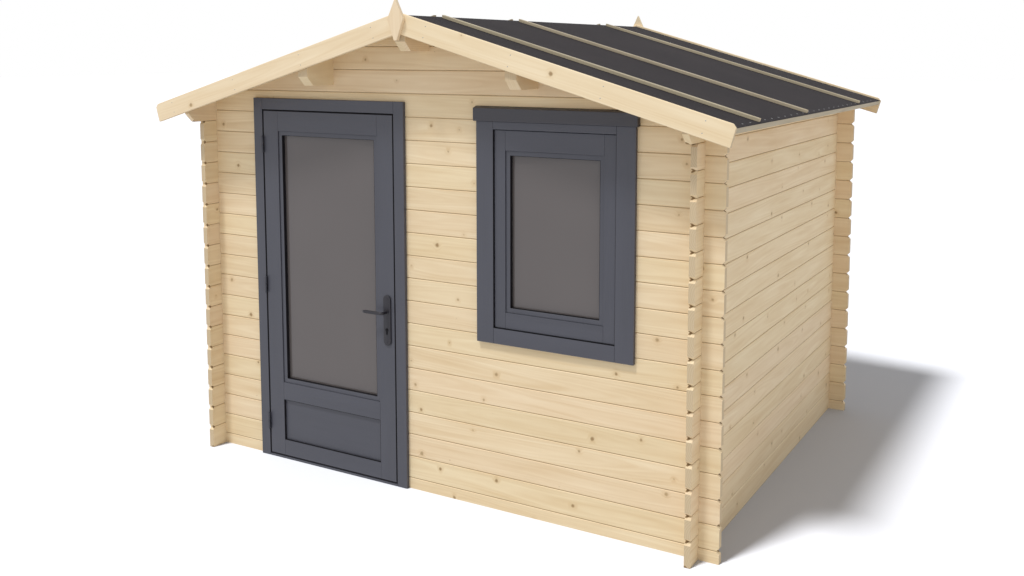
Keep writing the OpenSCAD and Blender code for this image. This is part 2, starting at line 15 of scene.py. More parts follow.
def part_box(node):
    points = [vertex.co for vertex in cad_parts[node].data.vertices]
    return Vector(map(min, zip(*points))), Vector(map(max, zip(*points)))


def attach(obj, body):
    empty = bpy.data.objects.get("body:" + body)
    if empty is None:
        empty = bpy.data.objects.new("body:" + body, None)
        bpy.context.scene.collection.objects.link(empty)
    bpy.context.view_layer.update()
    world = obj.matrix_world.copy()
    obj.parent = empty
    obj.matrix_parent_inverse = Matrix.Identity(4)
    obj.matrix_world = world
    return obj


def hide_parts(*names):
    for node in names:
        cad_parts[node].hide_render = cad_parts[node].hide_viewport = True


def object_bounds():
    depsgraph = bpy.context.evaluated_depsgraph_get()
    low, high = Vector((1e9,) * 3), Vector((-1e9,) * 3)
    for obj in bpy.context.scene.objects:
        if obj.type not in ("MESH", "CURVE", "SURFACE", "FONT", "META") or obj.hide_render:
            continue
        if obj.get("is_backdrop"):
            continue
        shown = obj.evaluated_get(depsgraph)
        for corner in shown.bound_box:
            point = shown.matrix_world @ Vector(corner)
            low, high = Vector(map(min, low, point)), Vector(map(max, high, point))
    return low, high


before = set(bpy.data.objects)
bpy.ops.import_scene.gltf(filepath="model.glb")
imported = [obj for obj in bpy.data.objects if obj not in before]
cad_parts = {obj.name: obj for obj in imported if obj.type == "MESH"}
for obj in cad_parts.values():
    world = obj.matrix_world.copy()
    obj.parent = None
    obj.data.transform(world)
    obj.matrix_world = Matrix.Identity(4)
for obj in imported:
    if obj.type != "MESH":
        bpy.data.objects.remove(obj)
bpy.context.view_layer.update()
bpy.ops.object.select_all(action="DESELECT")

# %% [markdown]
# The camera comes first, because everything is judged through it. It stands to the right of the door corner,
# a little above the eaves, and looks slightly down. A small vertical shift keeps the wall edges nearly upright,
# as a building photographer would do with a shift lens.

# %% Camera
CAMERA_PLACE = (2.949, -5.355, 2.196)
LOOKS_DOWN, LOOKS_LEFT = math.radians(6.09), math.radians(30)
bpy.ops.object.camera_add(location=CAMERA_PLACE, rotation=(math.pi / 2 - LOOKS_DOWN, 0, LOOKS_LEFT))
camera = bpy.context.object
camera.name = "camera"
camera.data.sensor_width = 36
camera.data.lens = 37.27
camera.data.shift_x = -0.0071
camera.data.shift_y = -0.12
bpy.context.scene.camera = camera
bpy.context.scene.view_settings.view_transform = "Standard"
print("camera lens", camera.data.lens, "mm")

# %% [markdown]
# Shader trees are long, so one small function adds a node, sets it and links it. Colours are written as the
# sRGB codes that a paint card would give, and one function turns them into the linear values of the shaders.

# %% Node and colour helpers
def add(tree, kind, inputs=(), **settings):
    """Adds a shader node. Settings are its properties. Inputs are constants, sockets or nodes, and a node feeds
    it from the first output that its settings leave on."""
    made = tree.nodes.new("ShaderNode" + kind)
    for name, value in settings.items():
        setattr(made, name, value)
    for name, value in inputs.items() if isinstance(inputs, dict) else enumerate(inputs):
        if isinstance(value, bpy.types.Node):
            value = next(socket for socket in value.outputs if socket.enabled)
        if isinstance(value, bpy.types.NodeSocket):
            tree.links.new(value, made.inputs[name])
        else:
            made.inputs[name].default_value = value
    return made


def linear(code):
    """Turns an sRGB code such as #DEC8A5 into linear red, green, blue and alpha."""
    parts = [int(code[i:i + 2], 16) / 255 for i in (1, 3, 5)]
    return tuple(c / 12.92 if c <= 0.04045 else ((c + 0.055) / 1.055) ** 2.4 for c in parts) + (1.0,)


def empty_material(name):
    """A material with nothing in its tree but the output."""
    material = bpy.data.materials.new(name)
    material.use_nodes = True
    material.node_tree.nodes.clear()
    return material, material.node_tree


print("white is", linear("#FFFFFF"))

# %% [markdown]
# The shed stands on a plain white studio floor. The floor and the world are white to the camera and in
# reflections. What they give back to the shed is set apart from that, at the level of plain white paper, so
# that the wood keeps its colour. Only the shed's own shadow darkens the floor. The paper is a little cool,
# which cancels the warm light that the wood throws into that shadow.

# %% Floor and world
AMBIENT = 0.64
FLOOR_SEEN = 0.49
FLOOR_BOUNCE = 0.345
COOL = (0.975, 0.99, 1.05)


def seen_straight(tree):
    """One for a ray from the camera, a mirror or a pane, and nought for the light that is given back."""
    path = add(tree, "LightPath").outputs
    seen = add(tree, "Math", [path["Is Camera Ray"], path["Is Glossy Ray"]], operation="MAXIMUM")
    return add(tree, "Math", [seen, path["Is Transmission Ray"]], operation="MAXIMUM")


bpy.ops.mesh.primitive_plane_add(size=160, location=(0, 0, 0))
floor = bpy.context.object
floor.name = "studio_floor"
floor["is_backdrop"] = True
white_floor, tree = empty_material("studio_floor_paper")
paper = add(tree, "Mix", {0: seen_straight(tree), 6: (FLOOR_BOUNCE,) * 3 + (1,),
                          7: [FLOOR_SEEN * part for part in COOL] + [1]}, data_type="RGBA")
diffuse = add(tree, "BsdfDiffuse", [paper])
add(tree, "OutputMaterial", [diffuse])
floor.data.materials.append(white_floor)

world = bpy.data.worlds.new("studio")
bpy.context.scene.world = world
world.use_nodes = True
tree = world.node_tree
tree.nodes.clear()
level = add(tree, "MapRange", {"Value": seen_straight(tree), "To Min": AMBIENT, "To Max": 1.0})
sky = add(tree, "Background", [(1, 1, 1, 1), level])
add(tree, "OutputWorld", [sky])
print("ambient level", AMBIENT)

# %% [markdown]
# One wide sun stands high behind the camera's left shoulder. It lights the front, leaves the right side to the
# soft sky, and throws the short shadow under the roof's overhang. Its large angle softens the shadow's edge.

# %% Sun
SUN_LEVEL = 0.55
FLOOR_LEVEL = 1.30
SUN_TRAVEL = Vector((0.35, 0.9, -1.9))
bpy.ops.object.light_add(type="SUN", location=(-2, -5, 9))
sun = bpy.context.object
sun.name = "soft_sun"
sun.rotation_euler = SUN_TRAVEL.to_track_quat("-Z", "Y").to_euler()
sun.data.energy = SUN_LEVEL * math.pi
sun.data.angle = math.radians(9)
print("sun energy", round(sun.data.energy, 2))

# %% [markdown]
# White paper under a plain light would come out grey beside the shed. A second sun with the same direction is
# linked to the floor alone, so the floor stays white round the shed and its shadow stays, while the shed gets
# no more light than before.

# %% Floor light
bpy.ops.object.light_add(type="SUN", location=(-3, -6, 9), rotation=sun.rotation_euler)
floor_sun = bpy.context.object
floor_sun.name = "floor_sun"
floor_sun.data.energy = FLOOR_LEVEL * math.pi
floor_sun.data.angle = sun.data.angle
only_floor = bpy.data.collections.new("lit_by_floor_sun")
only_floor.objects.link(floor)
floor_sun.light_linking.receiver_collection = only_floor
print("floor sun energy", round(floor_sun.data.energy, 2))

# %% [markdown]
# ## Spruce
# Planed spruce is pale and even. What the eye finds in it is faint streaks along the grain, wide arches where
# a growth ring is cut at a low angle, small brown knots that push the grain aside, and a slightly different
# tint from board to board. All of that is built on three directions: along the grain, across the board and
# through it. A Mapping node turns the object's coordinates into those three, so that one recipe serves
# logs, boards and laths whichever way they lie. Rings are drawn 9 mm apart, wider than the real 3 mm, because
# the real ones are too fine to show at the size of a building.

# %% Spruce recipe
def grain_turn(along, across):
    """Rotation that brings the grain onto X and the board's width onto Z."""
    along, across = Vector(along).normalized(), Vector(across).normalized()
    return Matrix((along, across.cross(along), across)).to_euler()


def spruce(name, along, across, board, first, face, pale="#F3E2C3", dark="#DFC69F", seam_shade=0.0,
           knots=0.46, tint=0.35, grey=0.0, seed=0.0):
    """Planed spruce in boards that are board metres wide, counted from first; face is how far out they lie."""
    material, tree = empty_material(name)
    where = add(tree, "TexCoord")
    turned = add(tree, "Mapping", {"Vector": where.outputs["Object"], "Rotation": grain_turn(along, across)})
    run, through, width = add(tree, "SeparateXYZ", [turned]).outputs

    # Which board, and where across it and how deep in it
    count = add(tree, "Math", [width, first], operation="SUBTRACT")
    count = add(tree, "Math", [count, board], operation="DIVIDE")
    count = add(tree, "Math", [count], operation="FLOOR")
    middle = add(tree, "Math", [count, board, first + board / 2], operation="MULTIPLY_ADD")
    aside = add(tree, "Math", [width, middle], operation="SUBTRACT")
    side = add(tree, "Math", [through], operation="SIGN")
    inward = add(tree, "Math", [through], operation="ABSOLUTE")
    inward = add(tree, "Math", [face, inward], operation="SUBTRACT")

    # Each board draws its own lot, which shifts its grain and tints it
    key = add(tree, "CombineXYZ", [count, side, seed])
    lot = add(tree, "TexWhiteNoise", [key], noise_dimensions="3D")
    lot = add(tree, "SeparateColor", [lot.outputs["Color"]]).outputs
    shifted = add(tree, "Math", [lot[0], 17.0, run], operation="MULTIPLY_ADD")

    # Knots: one place in each stretch of a board, some of them too small to see
    stretch = add(tree, "Math", [shifted, knots], operation="DIVIDE")
    number = add(tree, "Math", [stretch], operation="FLOOR")
    face_side = add(tree, "Math", [side, seed], operation="ADD")
    throw = add(tree, "CombineXYZ", [number, count, face_side])
    throw = add(tree, "TexWhiteNoise", [throw], noise_dimensions="3D")
    throw = add(tree, "SeparateColor", [throw.outputs["Color"]]).outputs
    place = add(tree, "Math", [throw[0], 0.7, 0.15], operation="MULTIPLY_ADD")
    off_run = add(tree, "Math", [stretch, number], operation="SUBTRACT")
    off_run = add(tree, "Math", [off_run, place], operation="SUBTRACT")
    off_run = add(tree, "Math", [off_run, knots], operation="MULTIPLY")
    place = add(tree, "Math", [throw[1], board * 0.8, -board * 0.4], operation="MULTIPLY_ADD")
    off_width = add(tree, "Math", [aside, place], operation="SUBTRACT")
    far = add(tree, "CombineXYZ", [off_run, off_width])
    far = add(tree, "VectorMath", [far], operation="LENGTH")
    ragged = add(tree, "TexNoise", {"Vector": turned, "Scale": 90.0, "Detail": 1.0})
    far = add(tree, "Math", [ragged, 0.006, far], operation="MULTIPLY_ADD")
    radius = add(tree, "Math", [throw[2], 0.012, 0.0], operation="MULTIPLY_ADD")
    beyond = add(tree, "Math", [far, radius], operation="SUBTRACT")
    core = add(tree, "MapRange", {"Value": beyond, "From Min": 0.0055, "From Max": -0.0045},
               interpolation_type="SMOOTHSTEP")
    halo = add(tree, "MapRange", {"Value": beyond, "From Min": 0.024, "From Max": 0.002},
               interpolation_type="SMOOTHSTEP")
    large = add(tree, "Math", [throw[2], 0.3], operation="GREATER_THAN")
    halo = add(tree, "Math", [halo, large], operation="MULTIPLY")

    # Growth rings round a pith that wanders behind the board's face, pushed aside by the knots
    slow = add(tree, "Math", [shifted, 0.55], operation="MULTIPLY")
    apart = add(tree, "Math", [count, 7.3], operation="MULTIPLY")
    wander = add(tree, "CombineXYZ", [slow, apart, seed])
    wander = add(tree, "TexNoise", {"Vector": wander, "Scale": 1.0, "Detail": 2.0, "Roughness": 0.4})
    wander = add(tree, "SeparateColor", [wander.outputs["Color"]]).outputs
    pith = add(tree, "Math", [wander[0], 0.16, -0.08], operation="MULTIPLY_ADD")
    pith = add(tree, "Math", [aside, pith], operation="ADD")
    depth = add(tree, "Math", [wander[1], 0.10, -0.005], operation="MULTIPLY_ADD")
    depth = add(tree, "Math", [depth, inward], operation="ADD")
    reach = add(tree, "CombineXYZ", [pith, depth])
    reach = add(tree, "VectorMath", [reach], operation="LENGTH")
    reach = add(tree, "Math", [halo, 0.007, reach], operation="MULTIPLY_ADD")
    rings = add(tree, "Math", [reach, 2 * math.pi / 0.009], operation="MULTIPLY")
    rings = add(tree, "Math", [rings], operation="SINE")

    # Streaks of early and late wood, long along the grain and 4 to 20 mm wide, under broad drifts of tone
    fine = add(tree, "CombineXYZ", [add(tree, "Math", [shifted, 1.6], operation="MULTIPLY"),
                                    add(tree, "Math", [reach, 120.0], operation="MULTIPLY"),
                                    add(tree, "Math", [through, 3.0, count], operation="MULTIPLY_ADD")])
    streak = add(tree, "TexNoise", {"Vector": fine, "Scale": 1.0, "Detail": 4.0, "Roughness": 0.6})
    broad = add(tree, "CombineXYZ", [add(tree, "Math", [shifted, 2.2], operation="MULTIPLY"),
                                     add(tree, "Math", [aside, 22.0], operation="MULTIPLY"), count])
    cloud = add(tree, "TexNoise", {"Vector": broad, "Scale": 1.0, "Detail": 2.0})
    figure = add(tree, "Math", [streak, 1.1, -0.68], operation="MULTIPLY_ADD")
    figure = add(tree, "Math", [cloud, 1.1, figure], operation="MULTIPLY_ADD")
    figure = add(tree, "Math", [rings, 0.08, figure], operation="MULTIPLY_ADD")
    figure = add(tree, "Math", [halo, 0.30, figure], operation="MULTIPLY_ADD")
    figure = add(tree, "Clamp", [figure])
    wood = add(tree, "Mix", {0: figure, 6: linear(pale), 7: linear(dark)}, data_type="RGBA")

    # Board tints: some lean to yellow and some to pink, and each is a little lighter or darker
    warm = add(tree, "Mix", {0: lot[1], 6: linear("#FFFAE6"), 7: linear("#FFF1EC")}, data_type="RGBA")
    wood = add(tree, "Mix", {0: tint, 6: wood, 7: warm}, data_type="RGBA", blend_type="MULTIPLY")
    shade = add(tree, "Math", [lot[2], 0.10 * tint, 1.0 - 0.06 * tint], operation="MULTIPLY_ADD")
    wood = add(tree, "VectorMath", {0: wood, "Scale": shade}, operation="SCALE")
    knot = add(tree, "Mix", {0: lot[1], 6: linear("#A1855F"), 7: linear("#BFA580")}, data_type="RGBA")
    wood = add(tree, "Mix", {0: core, 6: wood, 7: knot}, data_type="RGBA")

    # Sawn ends show their rings and are darker, because their open pores drink in the light
    local = add(tree, "Mapping", {"Vector": where.outputs["Normal"], "Rotation": grain_turn(along, across)},
                vector_type="NORMAL")
    end = add(tree, "SeparateXYZ", [local])
    tipped = add(tree, "Math", [end], operation="ABSOLUTE")
    end = add(tree, "Math", [tipped, 0.75], operation="GREATER_THAN")
    cut = add(tree, "Math", [rings, 0.35, 0.5], operation="MULTIPLY_ADD")
    sawn = add(tree, "Mix", {0: cut, 6: linear("#D3BF9F"), 7: linear("#C7B18F")}, data_type="RGBA")
    wood = add(tree, "Mix", {0: end, 6: wood, 7: sawn}, data_type="RGBA")

    if seam_shade:
        # Painted shade: the open joint between two logs is darkened into a line of shade, and near a log's end
        # that painted shade widens into the notch on the inside
        notch_shade = add(tree, "MapRange", {"Value": inward, "From Min": 0.010, "From Max": 0.020,
                                         "To Max": 0.0075})
        near_end = add(tree, "Math", [tipped, 0.3], operation="GREATER_THAN")
        notch_shade = add(tree, "Math", [notch_shade, near_end], operation="MULTIPLY")
        edge = add(tree, "Math", [aside], operation="ABSOLUTE")
        edge = add(tree, "Math", [board / 2, edge], operation="SUBTRACT")
        edge = add(tree, "Math", [edge, notch_shade], operation="SUBTRACT")
        gap = add(tree, "MapRange", {"Value": edge, "From Min": seam_shade, "From Max": seam_shade * 0.2})
        wood = add(tree, "Mix", {0: gap, 6: wood, 7: linear("#937752")}, data_type="RGBA")
    if grey:
        wood = add(tree, "Mix", {0: grey, 6: wood, 7: linear("#A9A294")}, data_type="RGBA")

    relief = add(tree, "Math", [rings, 0.15, streak], operation="MULTIPLY_ADD")
    bump = add(tree, "Bump", {"Height": relief, "Strength": 0.25, "Distance": 0.0008})
    rough = add(tree, "MapRange", {"Value": figure, "To Min": 0.58, "To Max": 0.70})
    shader = add(tree, "BsdfPrincipled", {"Base Color": wood, "Roughness": rough, "Normal": bump,
                                          "Specular IOR Level": 0.3})
    add(tree, "OutputMaterial", [shader])
    print("spruce:", name, len(tree.nodes), "nodes")
    return material


# %% [markdown]
# The four walls use the recipe in two directions. The front and rear walls start with a half log, so their
# joints lie at half heights, and the side walls' joints lie at whole ones. That is how the logs lock together.

# %% Log walls
LOG = 0.114
HALF_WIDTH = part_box("right_wall")[1].x
HALF_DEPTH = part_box("rear_wall")[1].y
X, Y, Z = (1, 0, 0), (0, 1, 0), (0, 0, 1)

# Both log walls get a painted line of shade, 1.7 mm wide, along each joint.
end_logs = spruce("spruce_logs_planed_ends", X, Z, LOG, LOG / 2, HALF_DEPTH, seam_shade=0.0017)
side_logs = spruce("spruce_logs_planed_sides", Y, Z, LOG, 0.0, HALF_WIDTH, seam_shade=0.0017, seed=3.0)


def dress(material, *names):
    """Gives CAD nodes a material."""
    for name in names:
        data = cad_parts[name].data
        data.materials.clear()
        data.materials.append(material)


dress(end_logs, "front_wall_left", "front_wall_right", "front_gable", "rear_wall")
dress(side_logs, "left_wall", "right_wall")

# %% [markdown]
# The purlins and the floor bearers are single sawn timbers, so their recipe has one wide board.

# %% Purlins and bearers
purlin_wood = spruce("spruce_purlins_planed", Y, Z, 0.4, 1.9, 0.03, knots=0.6, seed=5.0)
bearer_wood = spruce("spruce_bearers_sawn", Y, Z, 0.2, -0.1, 0.03, pale="#D3BC93", dark="#B4986C", seed=6.0)
dress(purlin_wood, "ridge_purlin", "left_purlin", "right_purlin")
dress(bearer_wood, "floor_bearers")

# %% [markdown]
# ## Shaping tools
# A new piece starts as a primitive of the right size in the right place, and is then cut and eased as a joiner
# would do it. The few steps that every board needs are kept in small functions: start a block, saw it
# off along a plane, round its edges, repeat it, mirror it, and join the copies.

# %% Shaping helpers
def alone(piece):
    """Makes a piece the only one selected, in object mode."""
    if bpy.context.object and bpy.context.object.mode != "OBJECT":
        bpy.ops.object.mode_set(mode="OBJECT")
    bpy.ops.object.select_all(action="DESELECT")
    piece.select_set(True)
    bpy.context.view_layer.objects.active = piece


def settle(piece, name):
    """Names a new piece and moves its place into its mesh."""
    piece.name = piece.data.name = name
    bpy.ops.object.transform_apply(location=True, rotation=True, scale=True)
    return piece


def block(name, low, high):
    """A block between two corners."""
    low, high = Vector(low), Vector(high)
    bpy.ops.object.select_all(action="DESELECT")
    bpy.ops.mesh.primitive_cube_add(size=1, location=(low + high) / 2)
    bpy.context.object.scale = high - low
    return settle(bpy.context.object, name)


def saw(piece, point, outward):
    """Saws a piece along a plane and drops what lies outward of it."""
    alone(piece)
    bpy.ops.object.mode_set(mode="EDIT")
    bpy.ops.mesh.select_all(action="SELECT")
    bpy.ops.mesh.bisect(plane_co=point, plane_no=outward, use_fill=True, clear_outer=True)
    bpy.ops.object.mode_set(mode="OBJECT")
    return piece


def ease(piece, width=0.002, segments=2):
    """Rounds every sharp edge a little, as a sanding block does."""
    alone(piece)
    bpy.ops.object.modifier_add(type="BEVEL")
    bevel = piece.modifiers[-1]
    bevel.width, bevel.segments = width, segments
    bevel.limit_method, bevel.angle_limit = "ANGLE", math.radians(25)
    bpy.ops.object.modifier_apply(modifier=bevel.name)
    return piece


def copy_to(piece, name, step):
    """A copy of a piece, with its own mesh, moved by step."""
    alone(piece)
    bpy.ops.object.duplicate()
    bpy.context.object.location = step
    return settle(bpy.context.object, name)


def mirrored(piece, name, axis, centre=0.0):
    """A mirror image of a piece, with its own mesh, across the plane at centre on an axis."""
    alone(piece)
    bpy.ops.object.duplicate()
    other = bpy.context.object
    other.scale[axis] = -1
    other.location[axis] = 2 * centre
    settle(other, name)
    bpy.ops.object.mode_set(mode="EDIT")
    bpy.ops.mesh.select_all(action="SELECT")
    bpy.ops.mesh.normals_make_consistent(inside=False)
    bpy.ops.object.mode_set(mode="OBJECT")
    return other


def joined(name, pieces):
    """Joins pieces into one object."""
    alone(pieces[0])
    for piece in pieces:
        piece.select_set(True)
    bpy.ops.object.join()
    bpy.context.object.name = bpy.context.object.data.name = name
    return bpy.context.object


def row_of(piece, count, step):
    """Repeats a piece count times, each moved on by step."""
    alone(piece)
    bpy.ops.object.modifier_add(type="ARRAY")
    row = piece.modifiers[-1]
    row.use_relative_offset, row.use_constant_offset = False, True
    row.constant_offset_displace, row.count = step, count
    bpy.ops.object.modifier_apply(modifier=row.name)
    return piece


def chosen(piece, kind, wanted):
    """Selects a piece's edges or faces for which wanted is true, and stays in edit mode."""
    alone(piece)
    bpy.ops.object.mode_set(mode="EDIT")
    bpy.ops.mesh.select_all(action="DESELECT")
    bpy.ops.mesh.select_mode(type=kind)
    mesh = bmesh.from_edit_mesh(piece.data)
    for part in mesh.edges if kind == "EDGE" else mesh.faces:
        part.select_set(bool(wanted(part)))
    bmesh.update_edit_mesh(piece.data)


def smooth(piece):
    """Shades a turned piece smooth, and leaves its sharp edges sharp."""
    alone(piece)
    bpy.ops.object.shade_smooth_by_angle(angle=math.radians(30))
    return piece


def fit(piece, body, slot, material, *nodes):
    """Gives a finished piece its material and its body, and hides the CAD nodes that it stands for."""
    piece.data.materials.clear()
    piece.data.materials.append(material)
    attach(piece, body)
    if nodes:
        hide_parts(*nodes)
    print("fitted", piece.name, "with", len(piece.data.polygons), "faces")
    return piece


# %% [markdown]
# ## Roof
# The roof falls 16 degrees to each side. Everything on it is laid out by its run down the slope from the ridge
# and its lift square to the boards, so a block on the roof is a block turned by the pitch.

# %% Roof frame of reference
PITCH = math.radians(16)
BOARD_T = 0.018
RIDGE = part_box("ridge_purlin")[1].z
BOARD_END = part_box("roof_boards_right")[1].y
DOWN = Vector((math.cos(PITCH), 0, -math.sin(PITCH)))
UP = Vector((math.sin(PITCH), 0, math.cos(PITCH)))
LEFT_DOWN = Vector((-DOWN.x, 0, DOWN.z))
LEFT_UP = Vector((-UP.x, 0, UP.z))
EAVE_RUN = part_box("roof_boards_right")[1].x / math.cos(PITCH) - BOARD_T * math.tan(PITCH)


def on_slope(run, y, lift):
    """The point at a run, a depth and a lift on the right slope."""
    return Vector((0, y, RIDGE)) + DOWN * run + UP * lift


def slope_block(name, run, y, lift):
    """A block on the right slope, each side given as (from, to)."""
    middle = on_slope(sum(run) / 2, sum(y) / 2, sum(lift) / 2)
    bpy.ops.object.select_all(action="DESELECT")
    bpy.ops.mesh.primitive_cube_add(size=1, location=middle, rotation=(0, PITCH, 0))
    bpy.context.object.scale = (run[1] - run[0], y[1] - y[0], lift[1] - lift[0])
    return settle(bpy.context.object, name)


print("ridge at", round(RIDGE, 4), "m, eave run", round(EAVE_RUN, 4), "m")

# %% [markdown]
# Roof boards are tongued and grooved, and seen from below each joint is a small V. One board is shaped, its
# lower long edges are bevelled, and an array lays the rest side by side. The saw then mitres them at the ridge.

# %% Roof boards
ROOF_BOARDS = 24
JOINT = 0.0002
PAST_RIDGE = 0.05
step = 2 * BOARD_END / ROOF_BOARDS
board = slope_block("roof_planks_right", (-PAST_RIDGE, EAVE_RUN), (JOINT - BOARD_END, step - JOINT - BOARD_END),
                    (0, BOARD_T))
chosen(board, "EDGE", lambda edge: all((v.co - Vector((0, 0, RIDGE))).dot(UP) < 0.001 for v in edge.verts)
       and abs((edge.verts[0].co - edge.verts[1].co).normalized().dot(DOWN)) > 0.9)
bpy.ops.mesh.bevel(offset=0.003, segments=1, affect="EDGES")
bpy.ops.object.mode_set(mode="OBJECT")
row_of(board, ROOF_BOARDS, (0, step, 0))
saw(board, (0, 0, 0), (-1, 0, 0))
other = mirrored(board, "roof_planks_left", 0)
roof_right = spruce("spruce_roof_boards_right", DOWN, Y, step, -BOARD_END, 0.0, seed=8.0)
roof_left = spruce("spruce_roof_boards_left", LEFT_DOWN, Y, step, -BOARD_END, 0.0, seed=9.0)
fit(board, "cabin", "roof_wood", roof_right, "roof_boards_right")
fit(other, "cabin", "roof_wood", roof_left, "roof_boards_left")

# %% [markdown]
# Roofing felt is a bitumen sheet with crushed slate pressed into it. It is nearly black, dead matt and grainy,
# with faint lighter and darker clouds. The grit is drawn at 5 mm, because real 1 mm grit is too fine to show.

# %% Roofing felt
felt, tree = empty_material("bitumen_felt_slate_grit")
where = add(tree, "TexCoord")
grit = add(tree, "TexVoronoi", {"Vector": where.outputs["Object"], "Scale": 1 / 0.005})
cloud = add(tree, "TexNoise", {"Vector": where.outputs["Object"], "Scale": 3.0, "Detail": 4.0})
fleck = add(tree, "SeparateColor", [grit.outputs["Color"]])
blend = add(tree, "Math", [fleck, 0.55, cloud], operation="MULTIPLY_ADD")
level = add(tree, "MapRange", {"Value": blend, "From Min": 0.3, "From Max": 1.2})
tone = add(tree, "Mix", {0: level, 6: linear("#201D20"), 7: linear("#312C2E")}, data_type="RGBA")
bump = add(tree, "Bump", {"Height": grit.outputs["Distance"], "Strength": 0.5, "Distance": 0.001})
shader = add(tree, "BsdfPrincipled", {"Base Color": tone, "Roughness": 0.92, "Normal": bump,
                                      "Specular IOR Level": 0.2})
add(tree, "OutputMaterial", [shader])
dress(felt, "roof_felt_left", "roof_felt_right")
print("felt on both slopes")

# %% [markdown]
# Barge boards close the roof's ends. Each one is a plain board: its inner end is cut upright to meet its
# neighbour at the ridge, its top outer corner is clipped, and its edges are eased so that they catch the light.

# %% Barge boards
BARGE_LOW, BARGE_HIGH, BARGE_T, BARGE_CLIP = -0.0629, 0.0321, 0.018, 0.018
SWELL = 0.0003  # easing the clipped corner makes the board this much longer
TRIM_SPRUCE = {"pale": "#F6E6C9", "dark": "#E6CFAA"}
barge_run = EAVE_RUN + BARGE_T - SWELL
barge_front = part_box("front_barge_right")[0].y
barge = slope_block("barge_front_right", (-PAST_RIDGE - 0.03, barge_run), (barge_front, barge_front + BARGE_T),
                    (BARGE_LOW, BARGE_HIGH))
saw(barge, (0, 0, 0), (-1, 0, 0))
saw(barge, on_slope(barge_run - BARGE_CLIP, 0, BARGE_HIGH), DOWN + UP)
ease(barge, 0.003)
barge_left = mirrored(barge, "barge_front_left", 0)
rear_right = mirrored(barge, "barge_rear_right", 1)
rear_left = mirrored(barge_left, "barge_rear_left", 1)
right_wood = spruce("spruce_barge_right", DOWN, UP, 0.5, 2.0, 1.37, seed=11.0, knots=0.7, **TRIM_SPRUCE)
left_wood = spruce("spruce_barge_left", LEFT_DOWN, LEFT_UP, 0.5, 2.0, 1.37, seed=14.0, knots=0.7, **TRIM_SPRUCE)
fit(barge, "cabin", "trim_wood", right_wood, "front_barge_right")
fit(rear_right, "cabin", "trim_wood", right_wood, "rear_barge_right")
fit(barge_left, "cabin", "trim_wood", left_wood, "front_barge_left")
fit(rear_left, "cabin", "trim_wood", left_wood, "rear_barge_left")

# %% [markdown]
# A kite-shaped board, the finial, covers the mitre of the barge boards. It is sawn from a block along the four
# edges of the kite.

# %% Finials
low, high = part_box("front_finial")
FOOT_HALF, SHOULDER = 0.008, 0.099
wide = low.z + SHOULDER
kite = block("finial_front", low, high)
half = high.x
for way in (1, -1):
    saw(kite, (0, 0, high.z), (way * (high.z - wide), 0, half))
for way in (1, -1):
    saw(kite, (way * half, 0, wide), (way * (wide - low.z), 0, FOOT_HALF - half))
ease(kite)
kite_rear = mirrored(kite, "finial_rear", 1)
finial_wood = spruce("spruce_finial", Z, X, 0.5, -0.25, 1.39, seed=17.0, knots=3.0, **TRIM_SPRUCE)
fit(kite, "cabin", "trim_wood", finial_wood, "front_finial")
fit(kite_rear, "cabin", "trim_wood", finial_wood, "rear_finial")

# %% [markdown]
# Thin battens hold the felt down, and a lath closes the eaves. They are rough laths that have greyed a little.
# One batten is shaped and copied down the roof, and the left slope gets a mirrored set.

# %% Battens and eave laths
FELT_TOP, BATTEN_TOP = 0.0212, 0.0362
BATTEN_W = 0.022
BATTEN_FIRST, BATTEN_SECOND, BATTEN_LAST = 0.312, 1.057, 2 * BOARD_END - 0.539
LATH_T, LATH_BELOW = 0.015, 0.006
ROUGH_SPRUCE = {"pale": "#C9BDA2", "dark": "#A79A80", "knots": 3.0, "grey": 0.25}
felt_end = EAVE_RUN + LATH_T
batten_y = BATTEN_FIRST - BOARD_END
batten = slope_block("batten", (0, felt_end - 0.012), (batten_y, batten_y + BATTEN_W), (FELT_TOP, BATTEN_TOP))
saw(batten, (0.024, 0, 0), (-1, 0, 0))
ease(batten, 0.0015)
second = copy_to(batten, "batten_second", (0, BATTEN_SECOND - BATTEN_FIRST, 0))
third = copy_to(batten, "batten_third", (0, BATTEN_LAST - BATTEN_FIRST, 0))
battens = joined("battens_right", [batten, second, third])
battens_left = mirrored(battens, "battens_left", 0)
lath = slope_block("eave_lath_eased_right", (EAVE_RUN, felt_end), (-BOARD_END, BOARD_END),
                   (-LATH_BELOW, BOARD_T))
ease(lath, 0.0015)
lath_left = mirrored(lath, "eave_lath_eased_left", 0)
right_wood = spruce("rough_lath_right", DOWN, Y, 0.3, -2.0, 0.0, seed=19.0, **ROUGH_SPRUCE)
left_wood = spruce("rough_lath_left", LEFT_DOWN, Y, 0.3, -2.0, 0.0, seed=20.0, **ROUGH_SPRUCE)
lath_wood = spruce("rough_lath_eaves", Y, Z, 0.5, 1.6, 1.6, seed=21.0, **ROUGH_SPRUCE)
fit(battens, "cabin", "lath_wood", right_wood, "roof_battens_right")
fit(battens_left, "cabin", "lath_wood", left_wood, "roof_battens_left")
fit(lath, "cabin", "lath_wood", lath_wood, "eave_lath_right")
fit(lath_left, "cabin", "lath_wood", lath_wood, "eave_lath_left")

# %% [markdown]
# ## Floor
# The floor is laid like the roof: one tongued and grooved board is shaped and repeated. It runs across the
# bearers, and a short strip on each side of the doorway fills the space beside the door frame.

